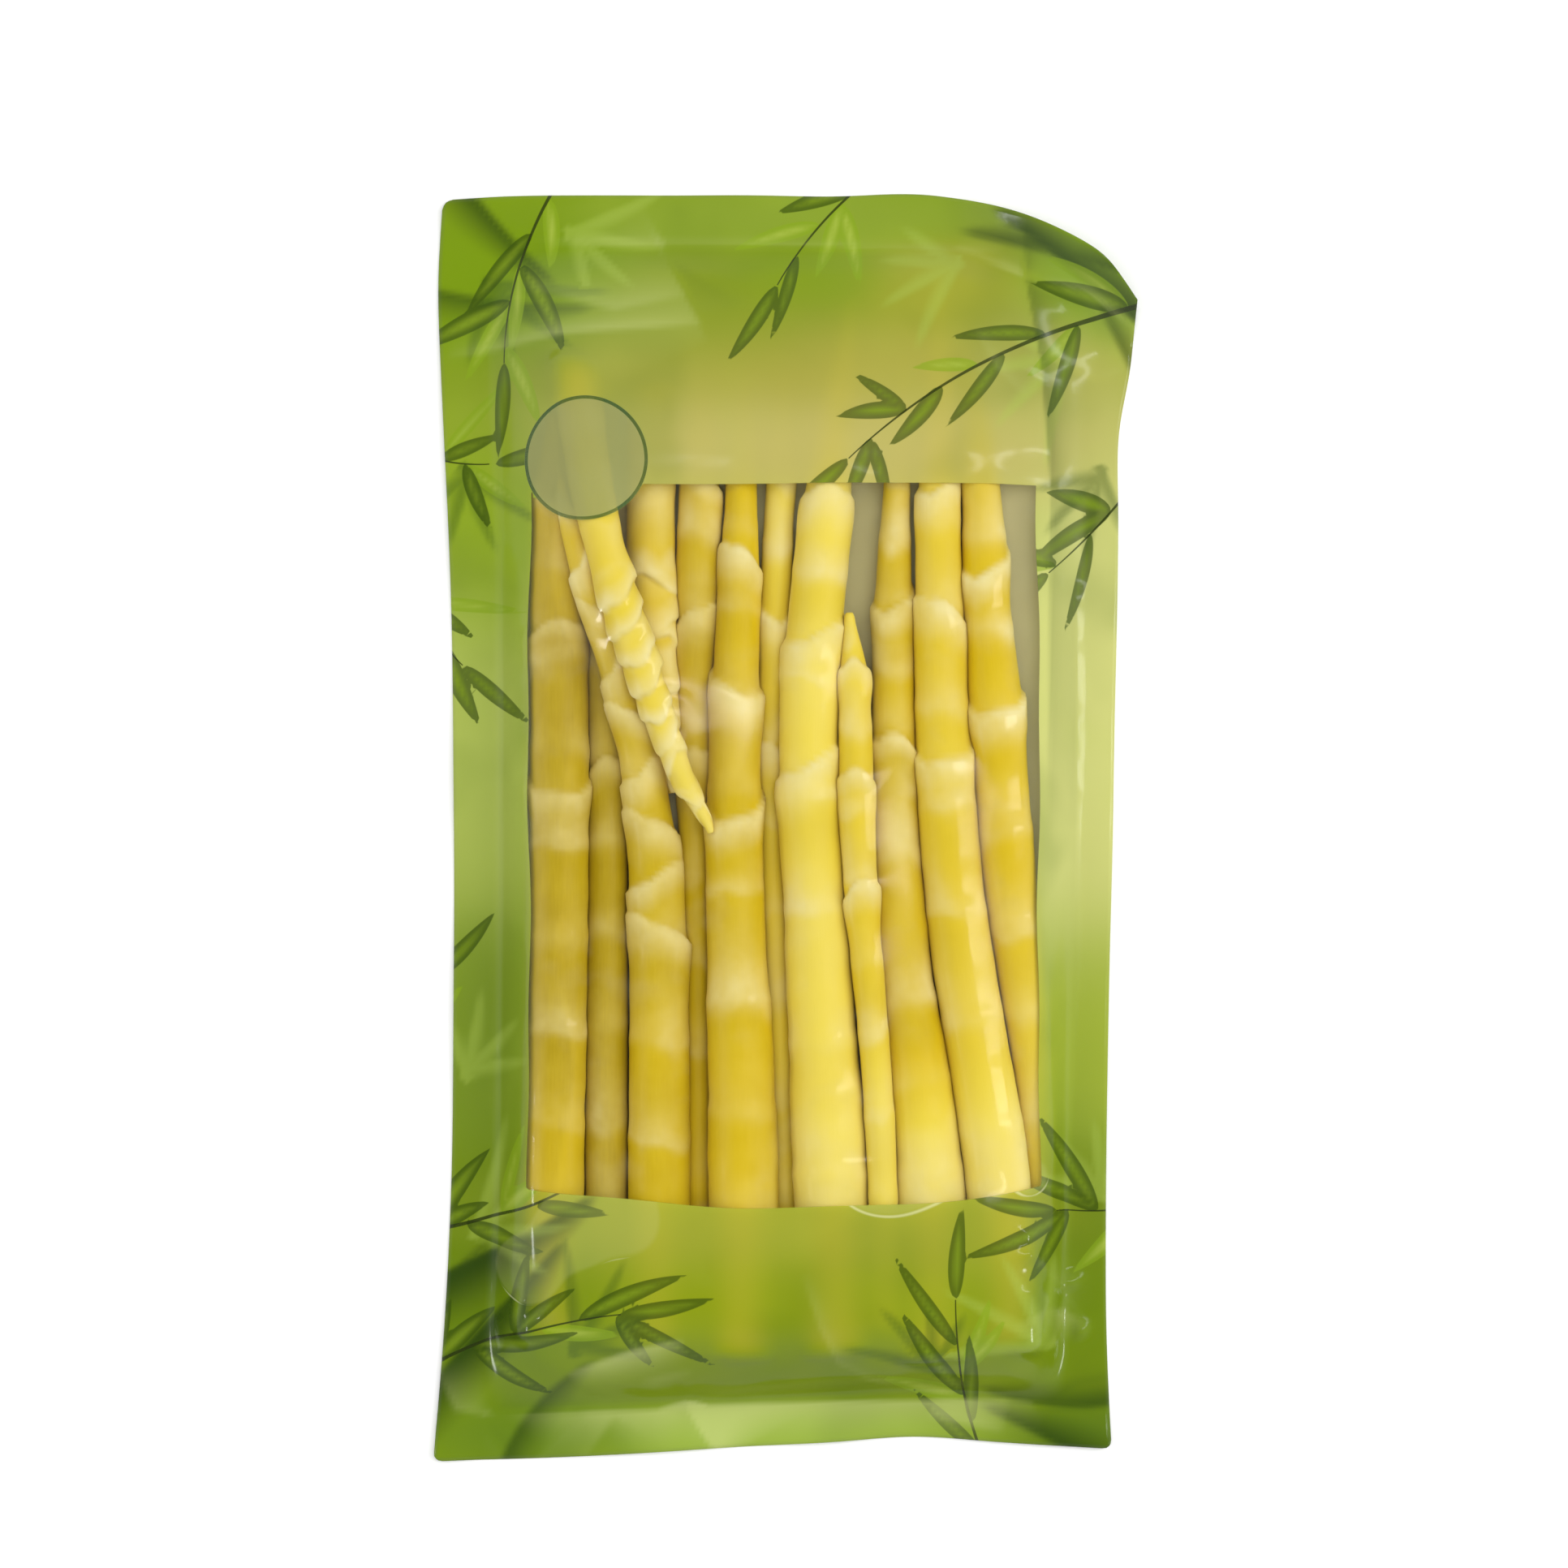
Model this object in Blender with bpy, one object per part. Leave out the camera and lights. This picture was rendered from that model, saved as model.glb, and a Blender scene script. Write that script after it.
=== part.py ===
"""Sealed film pouch of peeled bamboo shoots, lying on its back.

Metres, +Z up.  The top seal points along +Y and the origin is the middle of the underside.
A front and a back film are welded together round their edge.  Thirteen peeled shoots lie
between them side by side, some of them partly over their neighbours.
"""
import bmesh
import bpy
import numpy as np
from math import cos, pi, sin

# ------------------------------------------------------------------ driving dimensions
MM = 0.001
FILM = 0.5 * MM              # thickness of each film
GAP = 0.3 * MM               # clearance kept between pieces that touch
BED = FILM + GAP             # height at which the lowest shoots and the weld begin

# Outline of the pouch, in mm, as four edges that meet at the corners.
TOP_EDGE = [(-80.7, 148.6), (-69, 149.4), (-45, 149.8), (10, 149.6), (40, 149.2),
            (54, 145.2), (67, 139), (78, 131.8), (83, 124)]
BOTTOM_EDGE = [(-83, -149.8), (-55, -149), (-20, -147), (12, -145.2), (32, -144),
               (50, -145.2), (77.5, -146.8)]
LEFT_EDGE = [(-83, -149.8), (-80.6, -121), (-79, -91), (-78.2, -40), (-78.2, 10),
             (-79, 60), (-81.2, 108), (-82, 130), (-80.7, 148.6)]
RIGHT_EDGE = [(77.5, -146.8), (76.3, -118), (76.2, -90), (77.9, 4), (79.2, 76),
              (79.4, 97), (81.6, 105), (82.8, 114), (83, 124)]

SIDE_WELD = 12 / 160         # share of the width that each side weld takes
END_WELD = 12 / 298          # share of the length that each end weld takes
FILM_CELLS = (26, 34)        # cells of each film, across and along
FLAT_ANGLE = 0.002           # radians, below which the back film's cells are joined
CURL_RISE = 9 * MM           # how far the top right corner curls up
CURL_START = (36, 112)       # mm, the x and y from which it curls
CURL_REACH = 25              # mm, over which it reaches its full rise
RELAX_STEPS = 400            # steps in which the stretched film comes to rest
SLUMP = 0.4 * MM             # how far the film sinks a step where no shoot holds it up
CELL_SAMPLES = 6             # points across a cell at which the shoots are felt

SIDES = 12                   # faces round each shoot
RING_STEP = 15 * MM          # spacing of the rings along a shoot
ROW_STEP = 3 * MM            # spacing of the rows on which shoots are laid
STIFFNESS = 6                # rows over which a shoot stays nearly straight
ROUNDING = 1.01              # allowance for the flats between a shoot's rings

# Each shoot from its cut butt to its tip, in mm: (y, x, radius).
SHOOTS = {
    "shoot_01": [(-119, -53.8, 6.8), (-80, -54, 6.8), (-43, -53.2, 6.7), (4, -52.8, 6.7),
                 (27, -52.8, 6.7), (61, -53.6, 5.9), (80, -54.2, 4.6), (98, -54.6, 0.9)],
    "shoot_02": [(-116, -42, 4.8), (-34, -41.8, 4.8), (14, -41.8, 4.2), (42, -43, 3.4),
                 (60, -44, 2.6), (76, -44.6, 0.9)],
    "shoot_03": [(-120, -29.6, 7.0), (-80, -29.4, 6.9), (-44, -29.4, 6.6), (-15, -30, 6.1),
                 (3, -31.6, 5.0), (19, -34.6, 4.2), (35, -38.6, 3.6), (46, -42.4, 3.4),
                 (61, -47.2, 2.9), (71, -50, 2.3), (82, -52.6, 0.8)],
    "shoot_04": [(-118, -20.1, 2.9), (-80, -20.2, 2.9), (-34, -20.4, 2.9), (4, -21.4, 3.6),
                 (42, -20.9, 4.3), (72, -20, 5.0), (88, -19.4, 3.6), (103, -18.8, 0.9)],
    "shoot_05": [(-123, -9.6, 8.0), (-80, -9.6, 8.0), (-53, -10.2, 7.6), (-34, -11, 7.0),
                 (4, -11.8, 6.3), (27, -11.5, 5.7), (46, -11, 5.1), (72, -10.2, 4.0),
                 (91, -9.6, 2.7), (108, -9.2, 0.8)],
    "shoot_06": [(-119, 0.6, 2.9), (-80, 0.2, 2.9), (-34, -1.6, 2.8), (4, -3.2, 2.7),
                 (42, -2.6, 3.1), (72, -1.2, 3.4), (90, -0.6, 2.6), (107, 0.3, 0.8)],
    "shoot_07": [(-122, 11.8, 8.8), (-87, 11.2, 8.8), (-66, 10.1, 8.4), (-38, 8.4, 7.6),
                 (-15, 7.1, 7.2), (4, 5.9, 7.0), (34, 6.1, 6.6), (56, 8, 6.3),
                 (70, 9.5, 5.9), (88, 11.4, 4.8), (108, 14.1, 2.9), (125, 16, 0.8)],
    "shoot_08": [(-117, 23.6, 3.3), (-80, 23, 3.3), (-53, 21.4, 3.4), (-24, 18.8, 3.6),
                 (4, 17, 4.0), (27, 16.7, 3.6), (42, 16.1, 2.7), (51, 15.2, 0.9)],
    "shoot_09": [(-123, 35, 8.0), (-80, 34, 7.8), (-54, 31.2, 6.8), (-35, 28.5, 6.1),
                 (-15, 27, 5.7), (4, 26.1, 5.2), (34, 25.7, 4.8), (61, 25.9, 4.0),
                 (80, 26.6, 2.9), (99, 27.8, 1.8), (112, 28.5, 0.8)],
    "shoot_10": [(-121, 51.4, 7.4), (-80, 50, 7.3), (-54, 45.8, 7.0), (-20, 40.5, 6.8),
                 (4, 38.4, 6.5), (34, 36.9, 5.9), (50, 36.5, 5.5), (70, 36.3, 4.9),
                 (91, 36.3, 3.8), (112, 36.5, 2.5), (131, 36.5, 0.8)],
    "shoot_11": [(-95, 60.4, 2.8), (-72, 59.4, 3.2), (-43, 56.8, 4.6), (-20, 53.8, 5.6),
                 (4, 51.7, 6.0), (34, 49.3, 5.8), (56, 47.5, 5.0), (75, 46.8, 4.6),
                 (95, 45.1, 3.2), (114, 42.6, 0.8)],
    "shoot_12": [(108, -48.4, 5.5), (88, -46.4, 5.1), (71, -43, 4.6), (59, -40, 4.4),
                 (45, -35.7, 4.2), (35, -31.9, 3.8), (27, -29.4, 3.4), (17, -25.8, 2.9),
                 (5, -20.1, 1.9), (-1, -16.4, 0.8)],
    "shoot_13": [(105, -31, 5.7), (72, -31.4, 5.5), (42, -30.2, 4.6), (22, -28, 2.8),
                 (8, -26.4, 0.8)],
}

# The order in which they are laid on the back film: a later one lies over earlier ones.
LAYING_ORDER = ("shoot_02", "shoot_04", "shoot_06", "shoot_11", "shoot_01", "shoot_13",
                "shoot_05", "shoot_07", "shoot_09", "shoot_10", "shoot_03", "shoot_08",
                "shoot_12")


# ------------------------------------------------------------------ helpers
def clear_scene():
    """Remove every object that the file already holds."""
    for old in list(bpy.data.objects):
        bpy.data.objects.remove(old, do_unlink=True)


def make_material(name, colour, roughness, metallic=0.0):
    """One plain Principled material."""
    material = bpy.data.materials.new(name)
    material.use_nodes = True
    shader = material.node_tree.nodes["Principled BSDF"]
    shader.inputs["Base Color"].default_value = (*colour, 1.0)
    shader.inputs["Roughness"].default_value = roughness
    shader.inputs["Metallic"].default_value = metallic
    return material


def smooth_curve(t, knots, values):
    """A cubic through the values at rising knots, read at t, with no overshoot in slope."""
    knots = np.asarray(knots, float)
    values = np.asarray(values, float)
    slopes = np.gradient(values, knots)
    span = np.clip(np.searchsorted(knots, t, side="right") - 1, 0, len(knots) - 2)
    width = knots[span + 1] - knots[span]
    s = np.clip((t - knots[span]) / width, 0.0, 1.0)
    rise = s * s * (3 - 2 * s)
    start_pull = s * (1 - s) ** 2 * width * slopes[span]
    end_pull = s * s * (s - 1) * width * slopes[span + 1]
    return values[span] * (1 - rise) + values[span + 1] * rise + start_pull + end_pull


def add_object(name, shape, material):
    """Turn a bmesh into a named, smooth-shaded object with one material."""
    mesh = bpy.data.meshes.new(name)
    shape.to_mesh(mesh)
    shape.free()
    mesh.materials.append(material)
    mesh.shade_smooth()
    piece = bpy.data.objects.new(name, mesh)
    bpy.context.scene.collection.objects.link(piece)
    return piece


# ------------------------------------------------------------------ the shoots
def shoot_at_rows(stations, rows):
    """Middle and radius of a shoot where it crosses each row, nan where it doesn't."""
    stations = sorted(stations)
    y, x, radius = (np.array(column) * MM for column in zip(*stations))
    middle = smooth_curve(rows, y, x)
    thick = smooth_curve(rows, y, radius)
    beyond = (rows < y[0]) | (rows > y[-1])
    middle[beyond] = np.nan
    thick[beyond] = np.nan
    return middle, thick


def stay_stiff(heights):
    """Never below the heights asked for, and bending only slowly along the shoot."""
    padded = np.pad(heights, STIFFNESS, mode="edge")
    windows = np.lib.stride_tricks.sliding_window_view(padded, 2 * STIFFNESS + 1)
    highest = np.pad(windows.max(axis=1), STIFFNESS, mode="edge")
    windows = np.lib.stride_tricks.sliding_window_view(highest, 2 * STIFFNESS + 1)
    return windows.mean(axis=1)


def lay_shoots(rows):
    """Lay the shoots one by one, each on the back film or on those under it."""
    laid = {}
    widths = {}
    for name in LAYING_ORDER:
        middle, radius = shoot_at_rows(SHOOTS[name], rows)
        height = BED + radius
        widths[name] = radius * np.hypot(1.0, np.gradient(middle, rows)) * ROUNDING
        for other, (other_middle, _, other_height) in laid.items():
            reach = widths[name] + widths[other] + GAP
            aside = np.abs(middle - other_middle)
            overlaps = aside < reach
            step = np.sqrt(np.maximum(reach ** 2 - aside ** 2, 0.0))
            height = np.where(overlaps, np.fmax(height, other_height + step), height)
        present = ~np.isnan(radius)
        height[present] = stay_stiff(height[present])
        laid[name] = (middle, radius, height)
    return laid


def make_shoot(name, rows, heights, material):
    """A tapering round stalk with a flat cut butt and a blunt tip."""
    stations = SHOOTS[name]
    y, x, radius = (np.array(column) * MM for column in zip(*stations))
    along = np.concatenate(([0.0], np.cumsum(np.hypot(np.diff(x), np.diff(y)))))
    count = round(along[-1] / RING_STEP)
    t = np.linspace(0.0, along[-1], count + 1)
    ring_x = smooth_curve(t, along, x)
    ring_y = smooth_curve(t, along, y)
    ring_r = smooth_curve(t, along, radius)
    present = ~np.isnan(heights)
    ring_z = np.interp(ring_y, rows[present], heights[present])
    heading = np.arctan2(np.gradient(ring_y), np.gradient(ring_x))

    shape = bmesh.new()
    rings = []
    for cx, cy, cz, r, turn in zip(ring_x, ring_y, ring_z, ring_r, heading):
        ring = []
        for side in range(SIDES):
            angle = 2 * pi * side / SIDES
            aside = r * cos(angle)
            ring.append(shape.verts.new((cx + aside * sin(turn), cy - aside * cos(turn),
                                         cz + r * sin(angle))))
        rings.append(ring)
    for ring, following in zip(rings, rings[1:]):
        for side in range(SIDES):
            after = (side + 1) % SIDES
            shape.faces.new((ring[side], following[side], following[after], ring[after]))
    shape.faces.new(rings[0])
    shape.faces.new(reversed(rings[-1]))
    return add_object(name, shape, material)


# ------------------------------------------------------------------ the films
def edge_curve(points, t):
    """Points on one edge of the outline, at shares t of its length."""
    x, y = (np.array(column) * MM for column in zip(*points))
    along = np.concatenate(([0.0], np.cumsum(np.hypot(np.diff(x), np.diff(y)))))
    reach = t * along[-1]
    return np.stack((smooth_curve(reach, along, x), smooth_curve(reach, along, y)), axis=-1)


def spaced_shares(cells, weld):
    """Shares from 0 to 1 with one cell for each weld and even cells between them."""
    return np.concatenate(([0.0], np.linspace(weld, 1 - weld, cells - 1), [1.0]))


def outline_grid(cells):
    """A grid that fills the outline: x and y at each crossing, [across, along]."""
    u = spaced_shares(cells[0], SIDE_WELD)
    v = spaced_shares(cells[1], END_WELD)
    bottom = edge_curve(BOTTOM_EDGE, u)[:, None, :]
    top = edge_curve(TOP_EDGE, u)[:, None, :]
    left = edge_curve(LEFT_EDGE, v)[None, :, :]
    right = edge_curve(RIGHT_EDGE, v)[None, :, :]
    across = u[:, None, None]
    up = v[None, :, None]
    corners = ((1 - across) * (1 - up) * bottom[0, 0] + across * (1 - up) * bottom[-1, 0]
               + (1 - across) * up * top[0, 0] + across * up * top[-1, 0])
    spread = (1 - up) * bottom + up * top + (1 - across) * left + across * right - corners
    return spread[..., 0], spread[..., 1]


def corner_curl(x, y):
    """Rise of both films where the top right corner curls up."""
    aside = np.maximum(x / MM - CURL_START[0], 0.0)
    up = np.maximum(y / MM - CURL_START[1], 0.0)
    share = np.clip(np.sqrt(aside * up) / CURL_REACH, 0.0, 1.0)
    return CURL_RISE * share ** 2


def shoot_tops(x, y, rows, laid):
    """Height of the highest shoot at each point, or the bed where there is none."""
    top = np.full(x.shape, BED)
    for middle, radius, height in laid.values():
        present = ~np.isnan(radius)
        inside = (y > rows[present][0]) & (y < rows[present][-1])
        cx = np.interp(y, rows[present], middle[present])
        r = np.interp(y, rows[present], radius[present]) + GAP
        cz = np.interp(y, rows[present], height[present])
        bulge = np.sqrt(np.maximum(r ** 2 - (x - cx) ** 2, 0.0))
        covered = inside & (np.abs(x - cx) < r)
        top = np.where(covered, np.maximum(top, cz + bulge), top)
    return top


def press_welds(film):
    """Hold the film down on the back film where it is welded to it."""
    film[[0, 1, -2, -1], :] = BED
    film[:, [0, 1, -2, -1]] = BED


def drape(x, y, rows, laid):
    """Heights of the front film's inner face: stretched over the shoots, flat at the welds."""
    hold = np.full(x.shape, BED)
    for i in range(x.shape[0] - 1):
        for j in range(x.shape[1] - 1):
            across = np.linspace(x[i, j], x[i + 1, j], CELL_SAMPLES)
            along = np.linspace(y[i, j], y[i, j + 1], CELL_SAMPLES)
            need = shoot_tops(*np.meshgrid(across, along), rows, laid).max()
            if need > BED:
                hold[i:i + 2, j:j + 2] = np.maximum(hold[i:i + 2, j:j + 2], need + GAP)
    press_welds(hold)
    film = hold.copy()
    for _ in range(RELAX_STEPS):
        around = film[:-2, 1:-1] + film[2:, 1:-1] + film[1:-1, :-2] + film[1:-1, 2:]
        film[1:-1, 1:-1] = np.maximum(hold[1:-1, 1:-1], around / 4 - SLUMP)
        press_welds(film)
    return film


def make_film(name, x, y, z, outward, material):
    """A sheet through the grid, thickened away from the shoots."""
    shape = bmesh.new()
    grid = [[shape.verts.new(point) for point in zip(*column)] for column in zip(x, y, z)]
    for left, right in zip(grid, grid[1:]):
        for corners in zip(left, right, right[1:], left[1:]):
            shape.faces.new(corners)
    piece = add_object(name, shape, material)
    wall = piece.modifiers.new("wall", "SOLIDIFY")
    wall.thickness = FILM
    wall.offset = outward
    return piece


# ------------------------------------------------------------------ build
def main():
    """Lay the shoots and weld the two films round them."""
    clear_scene()
    film_green = make_material("printed pouch film", (0.34, 0.45, 0.08), 0.25)
    flesh = make_material("peeled bamboo shoot", (0.72, 0.58, 0.12), 0.4)

    rows = np.arange(-132 * MM, 138 * MM, ROW_STEP)
    laid = lay_shoots(rows)
    for name in SHOOTS:
        make_shoot(name, rows, laid[name][2], flesh)

    x, y = outline_grid(FILM_CELLS)
    curl = corner_curl(x, y)
    make_film("front_film", x, y, drape(x, y, rows, laid) + curl, 1.0, film_green)
    back = make_film("back_film", x, y, FILM + curl, -1.0, film_green)
    flat = back.modifiers.new("join flat cells", "DECIMATE")
    flat.decimate_type = "DISSOLVE"
    flat.angle_limit = FLAT_ANGLE


main()
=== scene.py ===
# %% [markdown]
# # A sealed pouch of bamboo shoots
# A flat pouch lies on its back.  Two thin plastic films are welded round their edge, and peeled
# bamboo shoots are packed between them.  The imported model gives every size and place.  This
# script makes the surfaces that show: the shoots with their joints, the draped films, their
# print, and plain studio light.

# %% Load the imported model
import bmesh
import bpy
import numpy as np
from functools import partial
from math import pi, radians, tau
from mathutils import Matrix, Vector
from mathutils.bvhtree import BVHTree


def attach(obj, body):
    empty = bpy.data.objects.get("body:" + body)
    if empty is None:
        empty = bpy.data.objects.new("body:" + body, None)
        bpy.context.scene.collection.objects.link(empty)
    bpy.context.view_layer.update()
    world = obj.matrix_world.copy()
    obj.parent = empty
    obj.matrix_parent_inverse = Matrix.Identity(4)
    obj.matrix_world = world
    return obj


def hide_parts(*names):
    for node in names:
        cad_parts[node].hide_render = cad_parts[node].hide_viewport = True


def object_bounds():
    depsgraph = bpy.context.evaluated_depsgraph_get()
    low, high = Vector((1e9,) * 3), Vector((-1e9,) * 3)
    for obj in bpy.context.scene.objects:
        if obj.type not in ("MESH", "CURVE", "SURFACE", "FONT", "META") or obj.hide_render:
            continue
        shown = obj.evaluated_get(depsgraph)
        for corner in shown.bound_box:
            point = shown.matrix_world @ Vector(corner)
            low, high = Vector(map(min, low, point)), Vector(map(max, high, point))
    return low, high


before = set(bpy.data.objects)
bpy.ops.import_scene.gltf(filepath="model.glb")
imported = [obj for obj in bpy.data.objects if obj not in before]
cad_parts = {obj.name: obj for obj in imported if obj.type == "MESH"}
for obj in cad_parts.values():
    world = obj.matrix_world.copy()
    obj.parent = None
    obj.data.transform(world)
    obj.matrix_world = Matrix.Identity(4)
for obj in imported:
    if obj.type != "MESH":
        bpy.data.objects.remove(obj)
cad_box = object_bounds()
MM = 0.001
SHOOT_NODES = sorted(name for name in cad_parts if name.startswith("shoot"))
print("shoots:", len(SHOOT_NODES), "box:", cad_box)

# %% [markdown]
# ## Camera and light
# The pouch is looked at from straight above.  A long lens keeps its sides parallel.  A large
# soft box overhead lights the hollows between the shoots, and two at the sides model their
# round forms.  Glossy film doesn't mirror those three.  A narrow strip and two small low lamps
# are what it mirrors, as a sheen down its folds and as glints on its steepest wrinkles.

# %% Camera
VIEW_WIDTH = 367 * MM        # what the picture takes in across
VIEW_SHIFT = 10.5 * MM       # how far above the pouch's middle the picture's middle is
LENS = 100.0
SENSOR = 36.0
pouch_middle = (Vector(cad_box[0]) + Vector(cad_box[1])) / 2
camera_data = bpy.data.cameras.new("camera")
camera_data.lens = LENS
camera_data.sensor_width = SENSOR
camera = bpy.data.objects.new("camera", camera_data)
camera.location = (0.0, VIEW_SHIFT, pouch_middle.z + VIEW_WIDTH * LENS / SENSOR)
bpy.context.scene.collection.objects.link(camera)
bpy.context.scene.camera = camera
print("camera height:", round(camera.location.z, 3))


# %% Studio
def add_light(name, place, size, watts, mirrored):
    """One rectangular lamp that points at the pouch."""
    light = bpy.data.lights.new(name, "AREA")
    light.shape = "RECTANGLE"
    light.size, light.size_y = size
    light.energy = watts
    lamp = bpy.data.objects.new(name, light)
    lamp.location = place
    lamp.rotation_euler = (-Vector(place)).to_track_quat("-Z", "Y").to_euler()
    lamp.visible_camera = False
    lamp.visible_glossy = mirrored
    bpy.context.scene.collection.objects.link(lamp)


add_light("soft_box_top", (0.1, 0.1, 1.5), (1.3, 1.3), 15.0, False)
add_light("soft_box_right", (1.2, 0.5, 1.0), (0.9, 0.9), 8.5, False)
add_light("soft_box_left", (-1.1, 0.2, 0.9), (0.9, 0.9), 3.6, False)
add_light("sheen_strip", (0.62, 0.05, 0.9), (0.07, 0.8), 1.0, True)
add_light("glint_lamp_left", (-1.35, -0.42, 0.55), (0.2, 0.2), 1.7, True)
add_light("glint_lamp_right", (1.35, -0.5, 0.55), (0.2, 0.2), 1.7, True)
print("lights:", [light.name for light in bpy.data.lights])


# %% [markdown]
# ## Helpers
# Colours are written as sRGB hex values, as a colour picker shows them, and turned to the
# linear numbers that shaders use.  One function adds a node with its settings and links.

# %% Colour and node helpers
def linear(code):
    """An sRGB hex code as linear red, green, blue and alpha."""
    values = [int(code[i:i + 2], 16) / 255 for i in (1, 3, 5)]
    return (*[v / 12.92 if v <= 0.04045 else ((v + 0.055) / 1.055) ** 2.4 for v in values], 1.0)


def add_node(tree, kind, inputs=None, **settings):
    """Add a node, set its properties, and link or set its inputs."""
    node = tree.nodes.new("ShaderNode" + kind)
    for name, value in settings.items():
        setattr(node, name, value)
    for key, value in (inputs or {}).items():
        if isinstance(value, bpy.types.Node):
            value = value.outputs[0]
        if isinstance(value, bpy.types.NodeSocket):
            tree.links.new(value, node.inputs[key])
        else:
            node.inputs[key].default_value = value
    return node


def new_material(name):
    """A material with an empty tree, and a function that adds nodes to that tree."""
    material = bpy.data.materials.new(name)
    material.use_nodes = True
    material.node_tree.nodes.clear()
    return material, partial(add_node, material.node_tree)


def smoothstep(low, high, value):
    """0 below low, 1 above high, and a smooth slope between them."""
    share = np.clip((value - low) / (high - low), 0.0, 1.0)
    return share * share * (3 - 2 * share)


# %% [markdown]
# A dome of light stands in for the room.  It is dark at the top, where a flat glossy film would
# mirror it into the camera as a grey veil, and bright near the horizon, where only the sides of
# folds mirror it.

# %% Dome of light
def make_dome(horizon, top):
    """A white dome whose light grows from the top down to the horizon."""
    world = bpy.data.worlds.new("studio dome")
    world.use_nodes = True
    add = partial(add_node, world.node_tree)
    height = add("SeparateXYZ", {0: add("TexCoord").outputs["Generated"]}).outputs["Z"]
    squared = add("Math", {0: height, 1: height}, operation="MULTIPLY")
    strength = add("MapRange", {0: squared, 1: 0.0, 2: 1.0, 3: horizon, 4: top})
    background = world.node_tree.nodes["Background"]
    background.inputs["Color"].default_value = (1.0, 1.0, 1.0, 1.0)
    world.node_tree.links.new(strength.outputs[0], background.inputs["Strength"])
    bpy.context.scene.world = world


make_dome(horizon=0.74, top=0.06)
bpy.context.scene.view_settings.view_transform = "Standard"
print("world:", bpy.context.scene.world.name)


# %% Mesh and grid helpers
def read_points(piece):
    """A mesh's points as an array of x, y, z rows."""
    points = np.empty(len(piece.data.vertices) * 3, np.float32)
    piece.data.vertices.foreach_get("co", points)
    return points.reshape(-1, 3).astype(float)


def write_points(piece, points):
    """Put an array of points back into a mesh."""
    piece.data.vertices.foreach_set("co", points.astype(np.float32).ravel())
    piece.data.update()


def store(piece, name, values):
    """Keep one number for each point of a mesh, for a material to read."""
    attribute = piece.data.attributes.new(name, "FLOAT", "POINT")
    attribute.data.foreach_set("value", values.astype(np.float32).ravel())


def neighbours(values):
    """A grid of values shifted nine ways: each point itself and the eight round it."""
    padded = np.pad(values, 1, mode="edge")
    rows, columns = values.shape
    return [padded[i:i + rows, j:j + columns] for i in range(3) for j in range(3)]


def smooth_rows(values, reach):
    """A running mean along the first axis."""
    padded = np.pad(values, reach, mode="edge")
    return np.convolve(padded, np.ones(2 * reach + 1) / (2 * reach + 1), mode="valid")


# %% [markdown]
# ## Where the shoots lie
# Each shoot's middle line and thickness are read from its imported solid.  A plane across the
# pouch cuts the solid in a small ring, and the ring's middle and height are one reading.

# %% Read the middle lines
SLICES = 70
END_MARGIN = 0.4 * MM        # first and last plane, in from the ends of the solid


def read_spine(node):
    """Middle (x, y, z) and radius of a shoot at evenly spaced planes, butt end first."""
    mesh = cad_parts[node].data
    points = read_points(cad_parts[node])
    corners = np.empty(len(mesh.polygons) * 3, np.int32)
    mesh.polygons.foreach_get("vertices", corners)
    corners = corners.reshape(-1, 3)
    starts = points[corners].reshape(-1, 3)
    ends = points[np.roll(corners, -1, axis=1)].reshape(-1, 3)
    low, high = points[:, 1].min(), points[:, 1].max()
    rows = []
    for y in np.linspace(low + END_MARGIN, high - END_MARGIN, SLICES):
        crossing = (starts[:, 1] - y) * (ends[:, 1] - y) < 0
        a, b = starts[crossing], ends[crossing]
        cut = a + (b - a) * ((y - a[:, 1]) / (b[:, 1] - a[:, 1]))[:, None]
        middle = (cut.min(axis=0) + cut.max(axis=0)) / 2
        rows.append((middle[0], y, middle[2], np.ptp(cut[:, 2]) / 2))
    spine = np.array(rows)
    for column in (0, 2, 3):
        spine[:, column] = smooth_rows(spine[:, column], 1)
    if spine[0, 3] < spine[-1, 3]:
        spine = spine[::-1]
    return spine


spines = {node: read_spine(node) for node in SHOOT_NODES}
for node, spine in spines.items():
    print(node, "thickest", round(2000 * spine[:, 3].max(), 1), "mm")

# %% [markdown]
# ## Peeled shoots
# A peeled shoot is a round, tapering stalk.  Low swellings mark its joints, and towards the tip
# thin young sheaths overlap, each with a slanting edge.  One blank stalk is made from a
# cylinder whose long edges are cut into rings.  Each shoot is a copy of it, bent along its
# middle line and given its own joints and sheath edges by moving the rings' points.

# %% A blank stalk
SIDES = 48
RING_CUTS = (2, 80)          # made in two steps, as one step cuts 100 rings at most
END_INSETS = (0.12, 0.3, 0.3)    # rings on each end, so that it can be rounded


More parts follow.
